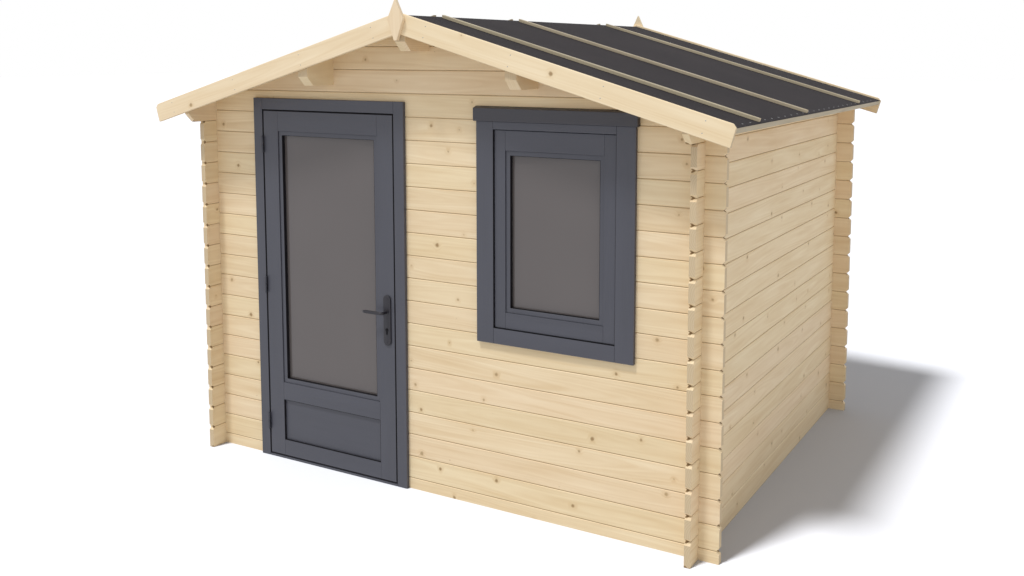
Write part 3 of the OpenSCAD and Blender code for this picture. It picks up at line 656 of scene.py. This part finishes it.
# %% Floor boards
floor_low, floor_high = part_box("floor_boards")
jambs_low, jambs_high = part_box("door_jambs")
NOTCH, BESIDE_JAMB = 0.042, 0.005
FLOOR_BOARDS = 23
gap = 0.0003
inner_edge = floor_low.y + NOTCH
step = (floor_high.y - inner_edge) / FLOOR_BOARDS
plank = block("floor_planks", (floor_low.x, inner_edge + gap, floor_low.z),
              (floor_high.x, inner_edge + step - gap, floor_high.z))
ease(plank, 0.0015, 1)
row_of(plank, FLOOR_BOARDS, (0, step, 0))
strips = [ease(block("strip", (x, floor_low.y, floor_low.z), (to, inner_edge - gap, floor_high.z)), 0.0015, 1)
          for x, to in ((floor_low.x, jambs_low.x - BESIDE_JAMB), (jambs_high.x + BESIDE_JAMB, floor_high.x))]
planks = joined("floor_planks", [plank] + strips)
floor_wood = spruce("spruce_floor_boards", X, Y, step, inner_edge, 0.0, pale="#DCC398", dark="#C0A072",
                    seed=23.0)
fit(planks, "cabin", "floor_wood", floor_wood, "floor_boards")

# %% [markdown]
# ## Painted joinery
# The door, the window and their trims are softwood with a satin acrylic paint in anthracite. The film is thin,
# so it follows the grain a little, and the brush leaves a faint drift in its tone. Upright members and level
# ones get the same paint with the grain turned.

# %% Anthracite paint
def paint(name, along, across, code="#484952"):
    """Satin anthracite paint over planed softwood."""
    material, tree = empty_material(name)
    where = add(tree, "TexCoord")
    turned = add(tree, "Mapping", {"Vector": where.outputs["Object"], "Rotation": grain_turn(along, across)})
    fibre = add(tree, "Mapping", {"Vector": turned, "Scale": (6.0, 220.0, 220.0)})
    grain = add(tree, "TexNoise", {"Vector": fibre, "Scale": 1.0, "Detail": 3.0})
    wide = add(tree, "Mapping", {"Vector": turned, "Scale": (1.5, 9.0, 9.0)})
    drift = add(tree, "TexNoise", {"Vector": wide, "Scale": 1.0, "Detail": 2.0})
    both = add(tree, "Math", [grain, 0.35, drift], operation="MULTIPLY_ADD")
    level = add(tree, "MapRange", {"Value": both, "From Min": 0.35, "From Max": 1.0, "To Min": 0.88,
                                   "To Max": 1.12})
    tone = add(tree, "VectorMath", {0: linear(code)[:3], "Scale": level}, operation="SCALE")
    bump = add(tree, "Bump", {"Height": grain, "Strength": 0.2, "Distance": 0.0004})
    rough = add(tree, "MapRange", {"Value": drift, "To Min": 0.38, "To Max": 0.5})
    shader = add(tree, "BsdfPrincipled", {"Base Color": tone, "Roughness": rough,
                                          "Normal": bump, "Specular IOR Level": 0.5})
    add(tree, "OutputMaterial", [shader])
    print("paint:", name)
    return material


paint_upright = paint("satin_anthracite_upright", Z, X)
paint_level = paint("satin_anthracite_level", X, Z)
# The drip board gets a darker copy of the level paint: painted shade for the shadow under the roof's overhang.
paint_drip_shaded = paint("satin_anthracite_level_shaded", X, Z, "#3A393F")
dress(paint_upright, "door_jambs", "window_frame")
dress(paint_level, "door_head")

# %% [markdown]
# Seals are black synthetic rubber. They are the darkest thing on the shed and have a soft dull sheen, so they
# read as a thin black line round each pane and panel. The same black also lines the gaps round the sash and the
# leaf and fills the keyway, where it is painted shade.

# %% Black rubber
black_seal_and_shade, tree = empty_material("black_rubber_and_painted_shade")
where = add(tree, "TexCoord")
bloom = add(tree, "TexNoise", {"Vector": where.outputs["Object"], "Scale": 40.0, "Detail": 2.0})
tone = add(tree, "Mix", {0: bloom, 6: linear("#0F0E11"), 7: linear("#1A181C")}, data_type="RGBA")
shader = add(tree, "BsdfPrincipled", {"Base Color": tone, "Roughness": 0.75, "Specular IOR Level": 0.2})
add(tree, "OutputMaterial", [shader])

# %% [markdown]
# The panes are grey-brown tinted glass, shaded as an opaque surface. Their even warm grey is painted into the
# base colour:
# it stands for the sky's reflection and the dark room behind the pane. A very slow ripple shifts that painted
# grey a little and bends the real gloss on top.

# %% Tinted glass
glass, tree = empty_material("tinted_float_glass")
where = add(tree, "TexCoord")
reflection_ripple = add(tree, "TexNoise", {"Vector": where.outputs["Object"], "Scale": 2.5, "Detail": 1.0})
# Painted reflection and shade: the pane's grey, drifting slightly with the ripple.
tone = add(tree, "Mix", {0: reflection_ripple, 6: linear("#645E5D"), 7: linear("#696362")}, data_type="RGBA")
bump = add(tree, "Bump", {"Height": reflection_ripple, "Strength": 0.1, "Distance": 0.002})
shader = add(tree, "BsdfPrincipled", {"Base Color": tone, "Roughness": 0.06, "Normal": bump,
                                      "Alpha": 0.9})
add(tree, "OutputMaterial", [shader])
dress(glass, "door_glass", "window_glass")
print("glass in door and window")

# %% [markdown]
# ## Trims
# Trim boards frame the door and the window on both faces of the wall. Each is a planed board with eased edges,
# and the butt joints between them show as fine lines.

# %% Door trims
WALL_FACE = -HALF_DEPTH
DOOR_HALF, TRIM_W = 0.43, 0.06
door_low, door_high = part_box("door_side_trims")
DOOR_X = (door_low.x + door_high.x) / 2
trim_face = door_low.y
outside = (trim_face, WALL_FACE)
inside = (door_high.y - (WALL_FACE - trim_face), door_high.y)
inner_half = door_high.x - DOOR_X - TRIM_W
head, inner_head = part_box("door_head_trims")[0].z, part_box("door_head_trims")[1].z - TRIM_W
print("door centre", round(DOOR_X, 4), "head", round(head, 4), "inner trims", round(inner_half, 4))


def trim(centre, side, face, height):
    """A planed trim: side is how far it lies to the right of a centre line, and each is given as (from, to)."""
    return ease(block("trim", (centre + side[0], face[0], height[0]), (centre + side[1], face[1], height[1])))


def uprights(name, centre, outer, inner):
    """The outer and the inner upright trims, and their mirror images across a centre line."""
    twins = [mirrored(outer, "trim_b", 0, centre), mirrored(inner, "trim_c", 0, centre)]
    return joined(name, [outer, inner] + twins)


sides = uprights("door_trims_upright", DOOR_X,
                 trim(DOOR_X, (DOOR_HALF, DOOR_HALF + TRIM_W), outside, (0, head + TRIM_W)),
                 trim(DOOR_X, (inner_half, inner_half + TRIM_W), inside, (floor_high.z, inner_head + TRIM_W)))
fit(sides, "cabin", "joinery_paint", paint_upright, "door_side_trims")
heads = joined("door_trims_level", [
    trim(DOOR_X, (gap - DOOR_HALF, DOOR_HALF - gap), outside, (head, head + TRIM_W)),
    trim(DOOR_X, (gap - inner_half, inner_half - gap), inside, (inner_head, inner_head + TRIM_W))])
fit(heads, "cabin", "joinery_paint", paint_level, "door_head_trims")

# %% [markdown]
# The threshold is a low strip under the leaf with a sill behind it. It is built from two blocks, each with its
# front edge well rounded where feet cross it.

# %% Threshold
low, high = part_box("door_threshold")
leaf_low, leaf_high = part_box("door_stiles")
STRIP_HIGH, SILL_IN = 0.012, 0.0153
sill_front = leaf_high.y + 0.005
strip = ease(block("strip", low, (high.x, sill_front, STRIP_HIGH)), 0.003)
sill = ease(block("sill", (low.x + SILL_IN, sill_front, 0), (high.x - SILL_IN, high.y, high.z)), 0.004)
threshold = joined("threshold_eased", [strip, sill])
fit(threshold, "cabin", "joinery_paint", paint_level, "door_threshold")

# %% [markdown]
# The window's trims are wider. Over them lies a thicker drip board, which stands proud of the trims and throws
# the rain clear of the sash. A groove under its front edge makes the drops fall.

# %% Window trims and drip board
win_low, win_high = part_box("window_trims")
WIN_X = (win_low.x + win_high.x) / 2
WIN_HALF, WIN_TRIM = 0.314, 0.092
SILL, LINTEL, WIN_TOP = 0.900, 1.840, 1.877
OUTER_LOW = SILL - 0.075
inner_half = win_high.x - WIN_X - TRIM_W
upright = uprights("window_trims_upright", WIN_X,
                   trim(WIN_X, (WIN_HALF, WIN_HALF + WIN_TRIM), outside, (OUTER_LOW, WIN_TOP)),
                   trim(WIN_X, (inner_half, inner_half + TRIM_W), inside, (win_low.z, win_high.z)))
fit(upright, "cabin", "joinery_paint", paint_upright, "window_trims")
level_trims = joined("window_trims_level", [
    trim(WIN_X, (gap - half, half - gap), face, height) for half, face, height in (
        (WIN_HALF, outside, (OUTER_LOW, SILL)),
        (WIN_HALF, outside, (LINTEL, WIN_TOP)),
        (inner_half, inside, (win_low.z, win_low.z + TRIM_W)),
        (inner_half, inside, (win_high.z - TRIM_W, win_high.z)))])
fit(level_trims, "cabin", "joinery_paint", paint_level)
low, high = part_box("window_drip_board")
DRIP_FALL = Vector((0, -0.010, 0.030))
GROOVE_IN, GROOVE_HALF, GROOVE_DEEP = 0.008, 0.002, 0.004
groove = low.y + GROOVE_IN
drip = block("drip_board_eased", low, high)
saw(drip, (0, low.y, high.z + DRIP_FALL.y), DRIP_FALL)
ease(drip, 0.0025)
for y in (groove - GROOVE_HALF, groove + GROOVE_HALF):
    chosen(drip, "FACE", lambda face: True)
    bpy.ops.mesh.bisect(plane_co=(0, y, 0), plane_no=(0, 1, 0))
chosen(drip, "FACE", lambda face: face.normal.z < -0.99
       and abs(face.calc_center_median().y - groove) < GROOVE_HALF)
bpy.ops.mesh.extrude_region_move(TRANSFORM_OT_translate={"value": (0, 0, GROOVE_DEEP)})
bpy.ops.object.mode_set(mode="OBJECT")
# Its darker paint is painted shade.
fit(drip, "cabin", "joinery_paint", paint_drip_shaded, "window_drip_board")

# %% [markdown]
# ## Sash and leaf
# The window's sash and the door's leaf are framed the same way: two stiles run the full height, and the rails
# butt between them. Every member has its own eased edges, so each joint shows as a fine line.

# %% Sash
def members(name, boxes, width=0.0012):
    """Eased members joined into one piece; each box is (low corner, high corner)."""
    return joined(name, [ease(block(name, low, high), width) for low, high in boxes])


sash_low, sash_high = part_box("window_sash")
STILE, LOW_RAIL, TOP_RAIL = 0.058, 0.076, 0.094
light_left, light_right = sash_low.x + STILE, sash_high.x - STILE
sash_stiles = members("sash_stiles", [
    (sash_low, (light_left, sash_high.y, sash_high.z)),
    ((light_right, sash_low.y, sash_low.z), sash_high)])
fit(sash_stiles, "cabin", "joinery_paint", paint_upright, "window_sash")
sash_rails = members("sash_rails", [
    ((light_left + gap, sash_low.y, sash_low.z), (light_right - gap, sash_high.y, sash_low.z + LOW_RAIL)),
    ((light_left + gap, sash_low.y, sash_high.z - TOP_RAIL), (light_right - gap, sash_high.y, sash_high.z))])
fit(sash_rails, "cabin", "joinery_paint", paint_level)

# %% [markdown]
# The leaf has a bottom rail, a lock rail above the panel and a top rail. Their joints with the stiles are cut
# square, and the paint leaves a hair line in each.

# %% Leaf stiles and rails
LEAF_STILE, LEAF_TOP_RAIL = 0.100, 0.107
leaf_tall = leaf_high.z - leaf_low.z
RAILS = [(0.0, 0.088), (0.313, 0.408), (leaf_tall - LEAF_TOP_RAIL, leaf_tall)]
panel_left, panel_right = leaf_low.x + LEAF_STILE, leaf_high.x - LEAF_STILE
leaf_stiles = members("leaf_stiles", [
    (leaf_low, (panel_left, leaf_high.y, leaf_high.z)),
    ((panel_right, leaf_low.y, leaf_low.z), leaf_high)])
fit(leaf_stiles, "leaf", "joinery_paint", paint_upright, "door_stiles")
leaf_rails = members("leaf_rails", [
    ((panel_left + gap, leaf_low.y, leaf_low.z + a), (panel_right - gap, leaf_high.y, leaf_low.z + b))
    for a, b in RAILS])
fit(leaf_rails, "leaf", "joinery_paint", paint_level, "door_rails")

# %% [markdown]
# The panel is a flat board held in a groove of the stiles and rails. Its face lies 12 mm back, so its frame
# throws a soft shade on it, and its own edges are only just eased.

# %% Leaf panel
low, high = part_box("door_panel")
panel = block("leaf_panel", low, high)
ease(panel, 0.001, 1)
fit(panel, "leaf", "joinery_paint", paint_level, "door_panel")

# %% [markdown]
# Glazing beads hold each pane from both sides. A ring starts as a flat rectangle, is inset by the bead's width,
# loses its middle, and is extruded to its thickness. The edge beside the glass is then bevelled. The seal is
# a thinner ring of the same kind, which lines the bead's inner edge in black.

# %% Beads and seals
def ring(name, low, high, width, ease_by=0):
    """A frame of members width wide between two corners, parallel to the front wall."""
    low, high = Vector(low), Vector(high)
    bpy.ops.object.select_all(action="DESELECT")
    bpy.ops.mesh.primitive_plane_add(size=1, location=((low.x + high.x) / 2, low.y, (low.z + high.z) / 2),
                                     rotation=(math.pi / 2, 0, 0))
    made = bpy.context.object
    made.scale = (high.x - low.x, high.z - low.z, 1)
    settle(made, name)
    bpy.ops.object.mode_set(mode="EDIT")
    bpy.ops.mesh.select_all(action="SELECT")
    bpy.ops.mesh.inset(thickness=width)
    bpy.ops.mesh.delete(type="FACE")
    bpy.ops.mesh.select_all(action="SELECT")
    bpy.ops.mesh.extrude_region_move(TRANSFORM_OT_translate={"value": (0, high.y - low.y, 0)})
    bpy.ops.mesh.select_all(action="SELECT")
    bpy.ops.mesh.normals_make_consistent(inside=False)
    bpy.ops.object.mode_set(mode="OBJECT")
    return ease(made, ease_by, 1) if ease_by else made


BEAD_W, SEAL_W, SEAL_BACK = 0.022, 0.0015, 0.001


def glazing(tag, body, beads_node, pane_node):
    """Beads on both sides of a pane, and the black seal inside the front one."""
    low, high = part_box(beads_node)
    pane_low, pane_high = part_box(pane_node)
    front = ring(tag + "_bead", low, (high.x, pane_low.y - gap, high.z), BEAD_W, 0.001)
    rear = ring(tag + "_bead_rear", (low.x, pane_high.y + gap, low.z), high, BEAD_W, 0.001)
    fit(joined(tag + "_beads", [front, rear]), body, "joinery_paint", paint_upright, beads_node)
    seal = ring(tag + "_seal", (low.x + BEAD_W, low.y + SEAL_BACK, low.z + BEAD_W),
                (high.x - BEAD_W, pane_low.y - gap, high.z - BEAD_W), SEAL_W)
    fit(seal, body, None, black_seal_and_shade)


glazing("sash", "cabin", "window_beads", "window_glass")
glazing("leaf", "leaf", "door_beads", "door_glass")
panel_low, panel_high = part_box("door_panel")
panel_seal = ring("leaf_panel_seal", (panel_low.x, leaf_low.y + SEAL_BACK, panel_low.z),
                  (panel_high.x, panel_low.y, panel_high.z), SEAL_W)
fit(panel_seal, "leaf", None, black_seal_and_shade)
# A thin black ring lines the trims' inner edges round the sash: painted shade for the shadow in the gap between
# trim and sash. Its top is sawn off, since no shade shows there.
edge_shade_lining = ring("sash_edge_shade_lining", (WIN_X - WIN_HALF, trim_face + SEAL_BACK, SILL),
                 (WIN_X + WIN_HALF, sash_low.y - 0.0005, LINTEL), 0.001)
saw(edge_shade_lining, (0, 0, LINTEL - 0.002), (0, 0, 1))
fit(edge_shade_lining, "cabin", None, black_seal_and_shade)

# %% [markdown]
# The gap round the leaf shows as a black line, which is the shade inside the narrow gap. That shade is painted
# with black rubber
# linings on both sides of the gap: one round the frame, and one round the leaf's edge with a narrow lip folded
# onto the leaf's face, which makes the painted line broader than the gap. A third seal lies on the stop that
# the leaf shuts against.
# The frame's lining is a ring with its bottom sawn off, since the threshold has none.

# %% Door linings
LINING, LIP, LIP_T = 0.0006, 0.0035, 0.0004
LINING_LOW = STRIP_HIGH + 0.001
frame_shade_lining = ring("frame_shade_lining", (DOOR_X - DOOR_HALF, trim_face + LIP_T, -0.01),
                    (DOOR_X + DOOR_HALF, sill_front, head), 2 * LINING)
saw(frame_shade_lining, (0, 0, LINING_LOW), (0, 0, -1))
fit(frame_shade_lining, "cabin", None, black_seal_and_shade)
stop_seal = ring("door_stop_seal", (DOOR_X - DOOR_HALF, sill_front - 0.001, LINING_LOW),
                 (DOOR_X + DOOR_HALF, sill_front, head), 0.010)
fit(stop_seal, "cabin", None, black_seal_and_shade)
leaf_shade_lining = ring("leaf_shade_lining", (leaf_low.x - LINING, leaf_low.y - LIP_T, leaf_low.z - LINING),
                   (leaf_high.x + LINING, leaf_high.y - 0.0015, leaf_high.z + LINING), LINING + LIP)
fit(leaf_shade_lining, "leaf", None, black_seal_and_shade)

# %% [markdown]
# ## Fittings
# The handle set is zinc, powder-coated in black. The coat is slightly pebbled, hides the metal completely and
# has a soft gloss. The hinges are steel with the same coat in anthracite, so that they sink into the door.

# %% Powder coats
def powder(name, low, high):
    """Powder coat: finely pebbled, drifting between two close tones."""
    material, tree = empty_material(name)
    where = add(tree, "TexCoord")
    pebble = add(tree, "TexNoise", {"Vector": where.outputs["Object"], "Scale": 600.0, "Detail": 2.0})
    wear = add(tree, "TexNoise", {"Vector": where.outputs["Object"], "Scale": 25.0, "Detail": 2.0})
    tone = add(tree, "Mix", {0: wear, 6: linear(low), 7: linear(high)}, data_type="RGBA")
    bump = add(tree, "Bump", {"Height": pebble, "Strength": 0.25, "Distance": 0.0003})
    rough = add(tree, "MapRange", {"Value": wear, "To Min": 0.36, "To Max": 0.48})
    shader = add(tree, "BsdfPrincipled", {"Base Color": tone, "Roughness": rough, "Normal": bump})
    add(tree, "OutputMaterial", [shader])
    print("powder coat:", name)
    return material


handle_coat = powder("black_powder_coated_zinc", "#17151C", "#232129")
hinge_coat = powder("anthracite_powder_coated_steel", "#3D3E46", "#474850")

# %% [markdown]
# Bare steel appears in two places: the plates of the lock, and the heads of the nails. It is galvanised, and
# what tells it from paint is the spangle, a patchwork of zinc crystals that each reflect a little differently.

# %% Galvanised steel
steel, tree = empty_material("galvanised_steel")
where = add(tree, "TexCoord")
spangle = add(tree, "TexVoronoi", {"Vector": where.outputs["Object"], "Scale": 1 / 0.002})
patch = add(tree, "SeparateColor", [spangle.outputs["Color"]])
tone = add(tree, "Mix", {0: patch, 6: linear("#9A9B9C"), 7: linear("#B4B5B6")}, data_type="RGBA")
rough = add(tree, "MapRange", {"Value": patch, "To Min": 0.35, "To Max": 0.5})
shader = add(tree, "BsdfPrincipled", {"Base Color": tone, "Roughness": rough, "Metallic": 0.9})
add(tree, "OutputMaterial", [shader])
print("steel has", len(tree.nodes), "nodes")

# %% [markdown]
# Each of the three hinges has two knuckles on one pin, and two plates that lie in the gap. A knuckle is a
# turned cylinder with rounded rims, which leave a fine ring where the two halves meet.

# %% Hinges
hinge_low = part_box("frame_hinges")[0]
KNUCKLE, HINGE_LONG, PLATE = 0.007, 0.090, 0.002
hinge_x, hinge_y = hinge_low.x + KNUCKLE, hinge_low.y + KNUCKLE
inset = hinge_low.z + HINGE_LONG / 2 - leaf_low.z
hinge_places = [leaf_low.z + inset, (leaf_low.z + leaf_high.z) / 2, leaf_high.z - inset]


def turned_disc(name, radius, low, high, rim, sides=32):
    """A cylinder between two points with its rims rounded."""
    low, high = Vector(low), Vector(high)
    bpy.ops.object.select_all(action="DESELECT")
    bpy.ops.mesh.primitive_cylinder_add(vertices=sides, radius=radius, depth=(high - low).length,
                                        location=(low + high) / 2,
                                        rotation=(high - low).to_track_quat("Z", "Y").to_euler())
    return smooth(ease(settle(bpy.context.object, name), rim))


def half_hinges(name, foot, plate_x):
    """The same half of all three hinges, its knuckle starting foot above the hinge's lower end."""
    pieces = []
    for z in hinge_places:
        z += foot - HINGE_LONG / 2
        top = z + HINGE_LONG / 2 - gap
        pieces.append(turned_disc(name, KNUCKLE, (hinge_x, hinge_y, z + gap), (hinge_x, hinge_y, top), 0.0012))
        pieces.append(block(name, (plate_x, hinge_y, z + gap), (plate_x + PLATE, leaf_high.y - 0.002, top)))
    return joined(name, pieces)


frame_half = half_hinges("hinge_knuckles_frame", 0, leaf_low.x - 0.005)
leaf_half = half_hinges("hinge_knuckles_leaf", HINGE_LONG / 2, leaf_low.x - PLATE)
fit(frame_half, "cabin", "dark_metal", hinge_coat, "frame_hinges")
fit(leaf_half, "leaf", "dark_metal", hinge_coat, "leaf_hinges")

# %% [markdown]
# A back plate is a bar with round ends. Its block gets its four upright corners bevelled until they meet, and
# then its rim is softened. Two screws hold it, and a lock cylinder with a narrow keyway sits below the lever.
# The same set faces the room, so the outside one is mirrored through the middle of the leaf.

# %% Back plates and lock cylinders
plates_low, plates_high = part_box("handle_plates")
lever_x = (plates_low.x + plates_high.x) / 2
half_plate = (plates_high.x - plates_low.x) / 2
plate_face = plates_low.y + 0.002
leaf_middle = (leaf_low.y + leaf_high.y) / 2
lever_z = plates_high.z - 0.085
lock_z = lever_z - 0.092
SCREW_IN = 0.018

plate = block("back_plate", (plates_low.x, plate_face, plates_low.z),
              (plates_high.x, leaf_low.y, plates_high.z))
chosen(plate, "EDGE", lambda edge: abs(edge.verts[0].co.y - edge.verts[1].co.y) > 0.001)
bpy.ops.mesh.bevel(offset=half_plate - 0.0002, segments=14, affect="EDGES")
bpy.ops.object.mode_set(mode="OBJECT")
smooth(ease(plate, 0.003, 3))
parts = [plate]
for z in (plates_high.z - SCREW_IN, plates_low.z + SCREW_IN):
    screw = turned_disc("screw", 0.004, (lever_x, plate_face, z), (lever_x, plate_face - 0.0012, z), 0.0005, 24)
    chosen(screw, "FACE", lambda face: face.normal.y < -0.99)
    bpy.ops.mesh.inset(thickness=0.0016)
    bpy.ops.mesh.extrude_region_move(TRANSFORM_OT_translate={"value": (0, 0.0008, 0)})
    bpy.ops.object.mode_set(mode="OBJECT")
    parts.append(screw)
parts.append(turned_disc("rose", 0.0115, (lever_x, plate_face, lever_z), (lever_x, plate_face - 0.003, lever_z),
                         0.001))
plates = joined("back_plates", parts)
plates = joined("back_plates", [plates, mirrored(plates, "plate_b", 1, leaf_middle)])
fit(plates, "leaf", "dark_metal", handle_coat, "handle_plates")

body = block("lock_body", (lever_x - 0.005, plates_low.y + 0.0004, lock_z - 0.0245),
             (lever_x + 0.005, plate_face, lock_z))
chosen(body, "EDGE", lambda edge: abs(edge.verts[0].co.y - edge.verts[1].co.y) > 0.001
       and edge.verts[0].co.z < lock_z - 0.01)
bpy.ops.mesh.bevel(offset=0.0049, segments=6, affect="EDGES")
bpy.ops.object.mode_set(mode="OBJECT")
core = turned_disc("lock_core", 0.0085, (lever_x, plate_face, lock_z), (lever_x, plates_low.y, lock_z), 0.0004)
# The keyway is a thin black block standing a little proud of the core: painted shade for the slot.
slot_shade = block("keyway", (lever_x - 0.0009, plates_low.y - 0.0001, lock_z - 0.0045),
             (lever_x + 0.0009, plates_low.y + 0.0005, lock_z + 0.0045))
lock = joined("lock_cylinders", [body, core, slot_shade])
lock = joined("lock_cylinders", [lock, mirrored(lock, "lock_b", 1, leaf_middle)])
fit(lock, "leaf", None, black_seal_and_shade)

# %% [markdown]
# The lever starts as a round neck that is extruded out of the plate, bent through a right angle with a spin,
# and extruded along the door. Its grip is flattened and tapers a little, as a cast one does, and its end is
# rounded with two smaller rings.

# %% Lever
lever_low, lever_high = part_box("door_lever")
BEND, NECK = 0.013, 0.0076
arm_y = lever_low.y + 0.008
bpy.ops.object.select_all(action="DESELECT")
bpy.ops.mesh.primitive_circle_add(vertices=28, radius=NECK, fill_type="NGON",
                                  location=(lever_x, leaf_middle, lever_z), rotation=(math.pi / 2, 0, 0))
lever = settle(bpy.context.object, "lever_cast")
bpy.ops.object.mode_set(mode="EDIT")
bpy.ops.mesh.select_all(action="SELECT")
bpy.ops.mesh.extrude_region_move(TRANSFORM_OT_translate={"value": (0, arm_y + BEND - leaf_middle, 0)})
bpy.ops.mesh.spin(steps=8, angle=math.pi / 2, center=(lever_x - BEND, arm_y + BEND, lever_z), axis=(0, 0, 1))
reach = lever_x - BEND - lever_low.x
for share, tall, deep in ((0.30, 1.12, 0.80), (0.55, 0.97, 0.97), (0.115, 0.85, 0.85), (0.035, 0.6, 0.6)):
    bpy.ops.mesh.extrude_region_move(TRANSFORM_OT_translate={"value": (-reach * share, 0, 0)})
    bpy.ops.transform.resize(value=(1, deep, tall))
bpy.ops.mesh.select_all(action="SELECT")
bpy.ops.mesh.normals_make_consistent(inside=False)
bpy.ops.object.mode_set(mode="OBJECT")
smooth(lever)
lever = joined("lever_cast", [lever, mirrored(lever, "lever_b", 1, leaf_middle)])
fit(lever, "lever", "dark_metal", handle_coat, "door_lever")
spread = sorted(v.co.y for v in lever.data.vertices)
print("lever spans y", round(spread[0], 4), round(spread[-1], 4),
      "of", round(lever_low.y, 4), round(lever_high.y, 4))

# %% [markdown]
# The lock shows a steel face plate in the leaf's edge, and the frame has a strike plate opposite. Both are thin
# plates with eased corners and two screws, let in almost flush.

# %% Lock plates
def edge_plate(name, x, out, tall):
    """A plate on an upright edge at x, facing the way of out, with two screws."""
    half_w, screw_in = 0.010, 0.012
    bottom, top = lever_z - tall, lever_z + tall - 0.05
    plate = ease(block(name, (min(x, x + out), leaf_middle - half_w, bottom),
                       (max(x, x + out), leaf_middle + half_w, top)), 0.0003, 1)
    screws = [turned_disc("screw", 0.0035, (x, leaf_middle, z), (x + out * 1.3, leaf_middle, z), 0.0001, 20)
              for z in (bottom + screw_in, top - screw_in)]
    return joined(name, [plate] + screws)


fit(edge_plate("lock_face_plate", leaf_high.x, 0.0009, 0.135), "leaf", "dark_metal", steel)
fit(edge_plate("strike_plate", DOOR_X + DOOR_HALF, -0.0009, 0.110), "cabin", "dark_metal", steel)

# %% [markdown]
# ## Nails
# Barge boards, battens and laths are nailed on, and clout nails hold the felt's edges. One flat head is
# modelled for each row, its rim is eased, and the row is an array of it. The heads lie half a millimetre proud.
# The last batten's nails are laid out from the back, and lie 22 mm behind the middle of that batten.

# %% Nail rows
def nails(name, radius, start, out, *runs):
    """A block of nail heads from start: runs are (count, step) pairs, one inside the other."""
    head = turned_disc(name, radius, start - out * 0.001, start + out * 0.0005, 0.0003, 14)
    for count, step in runs:
        row_of(head, count, step)
    return head


FRONT = Vector((0, -1, 0))
BARGE_NAIL, LATH_NAIL, CLOUT = 0.0024, 0.0028, 0.0038
CLOUT_STEP, CLOUT_IN = 0.1, 0.025
rows = [nails("barge", BARGE_NAIL, on_slope(0.16, barge_front, -0.042), FRONT,
              (2, UP * 0.052), (4, DOWN * 0.465))]
rows.append(mirrored(rows[0], "barge_b", 1))
for y in (BATTEN_FIRST + BATTEN_W / 2, BATTEN_SECOND + BATTEN_W / 2, BATTEN_LAST + BATTEN_W * 1.5):
    rows.append(nails("batten", LATH_NAIL, on_slope(0.10, y - BOARD_END, BATTEN_TOP), UP, (5, DOWN * 0.36)))
rows.append(nails("lath", LATH_NAIL, on_slope(felt_end, 0.12 - BOARD_END, 0.006), DOWN, (7, Vector(Y) * 0.41)))
for y in (CLOUT_IN - BOARD_END, BOARD_END - CLOUT_IN):
    rows.append(nails("clout", CLOUT, on_slope(0.12, y, FELT_TOP), UP, (15, DOWN * CLOUT_STEP)))
rows.append(nails("clout", CLOUT, on_slope(felt_end - 0.022, 0.13 - BOARD_END, FELT_TOP), UP,
                  (25, Vector(Y) * CLOUT_STEP)))
heads_right = joined("nail_heads_right", rows)
heads_left = mirrored(heads_right, "nail_heads_left", 0)
fit(heads_right, "cabin", "dark_metal", steel)
fit(heads_left, "cabin", "dark_metal", steel)

# %% [markdown]
# ## Finished size
# The finished model's box is printed.

# %% Sizes and finish
low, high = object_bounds()
print("visual box", [round(v, 4) for v in low], [round(v, 4) for v in high])
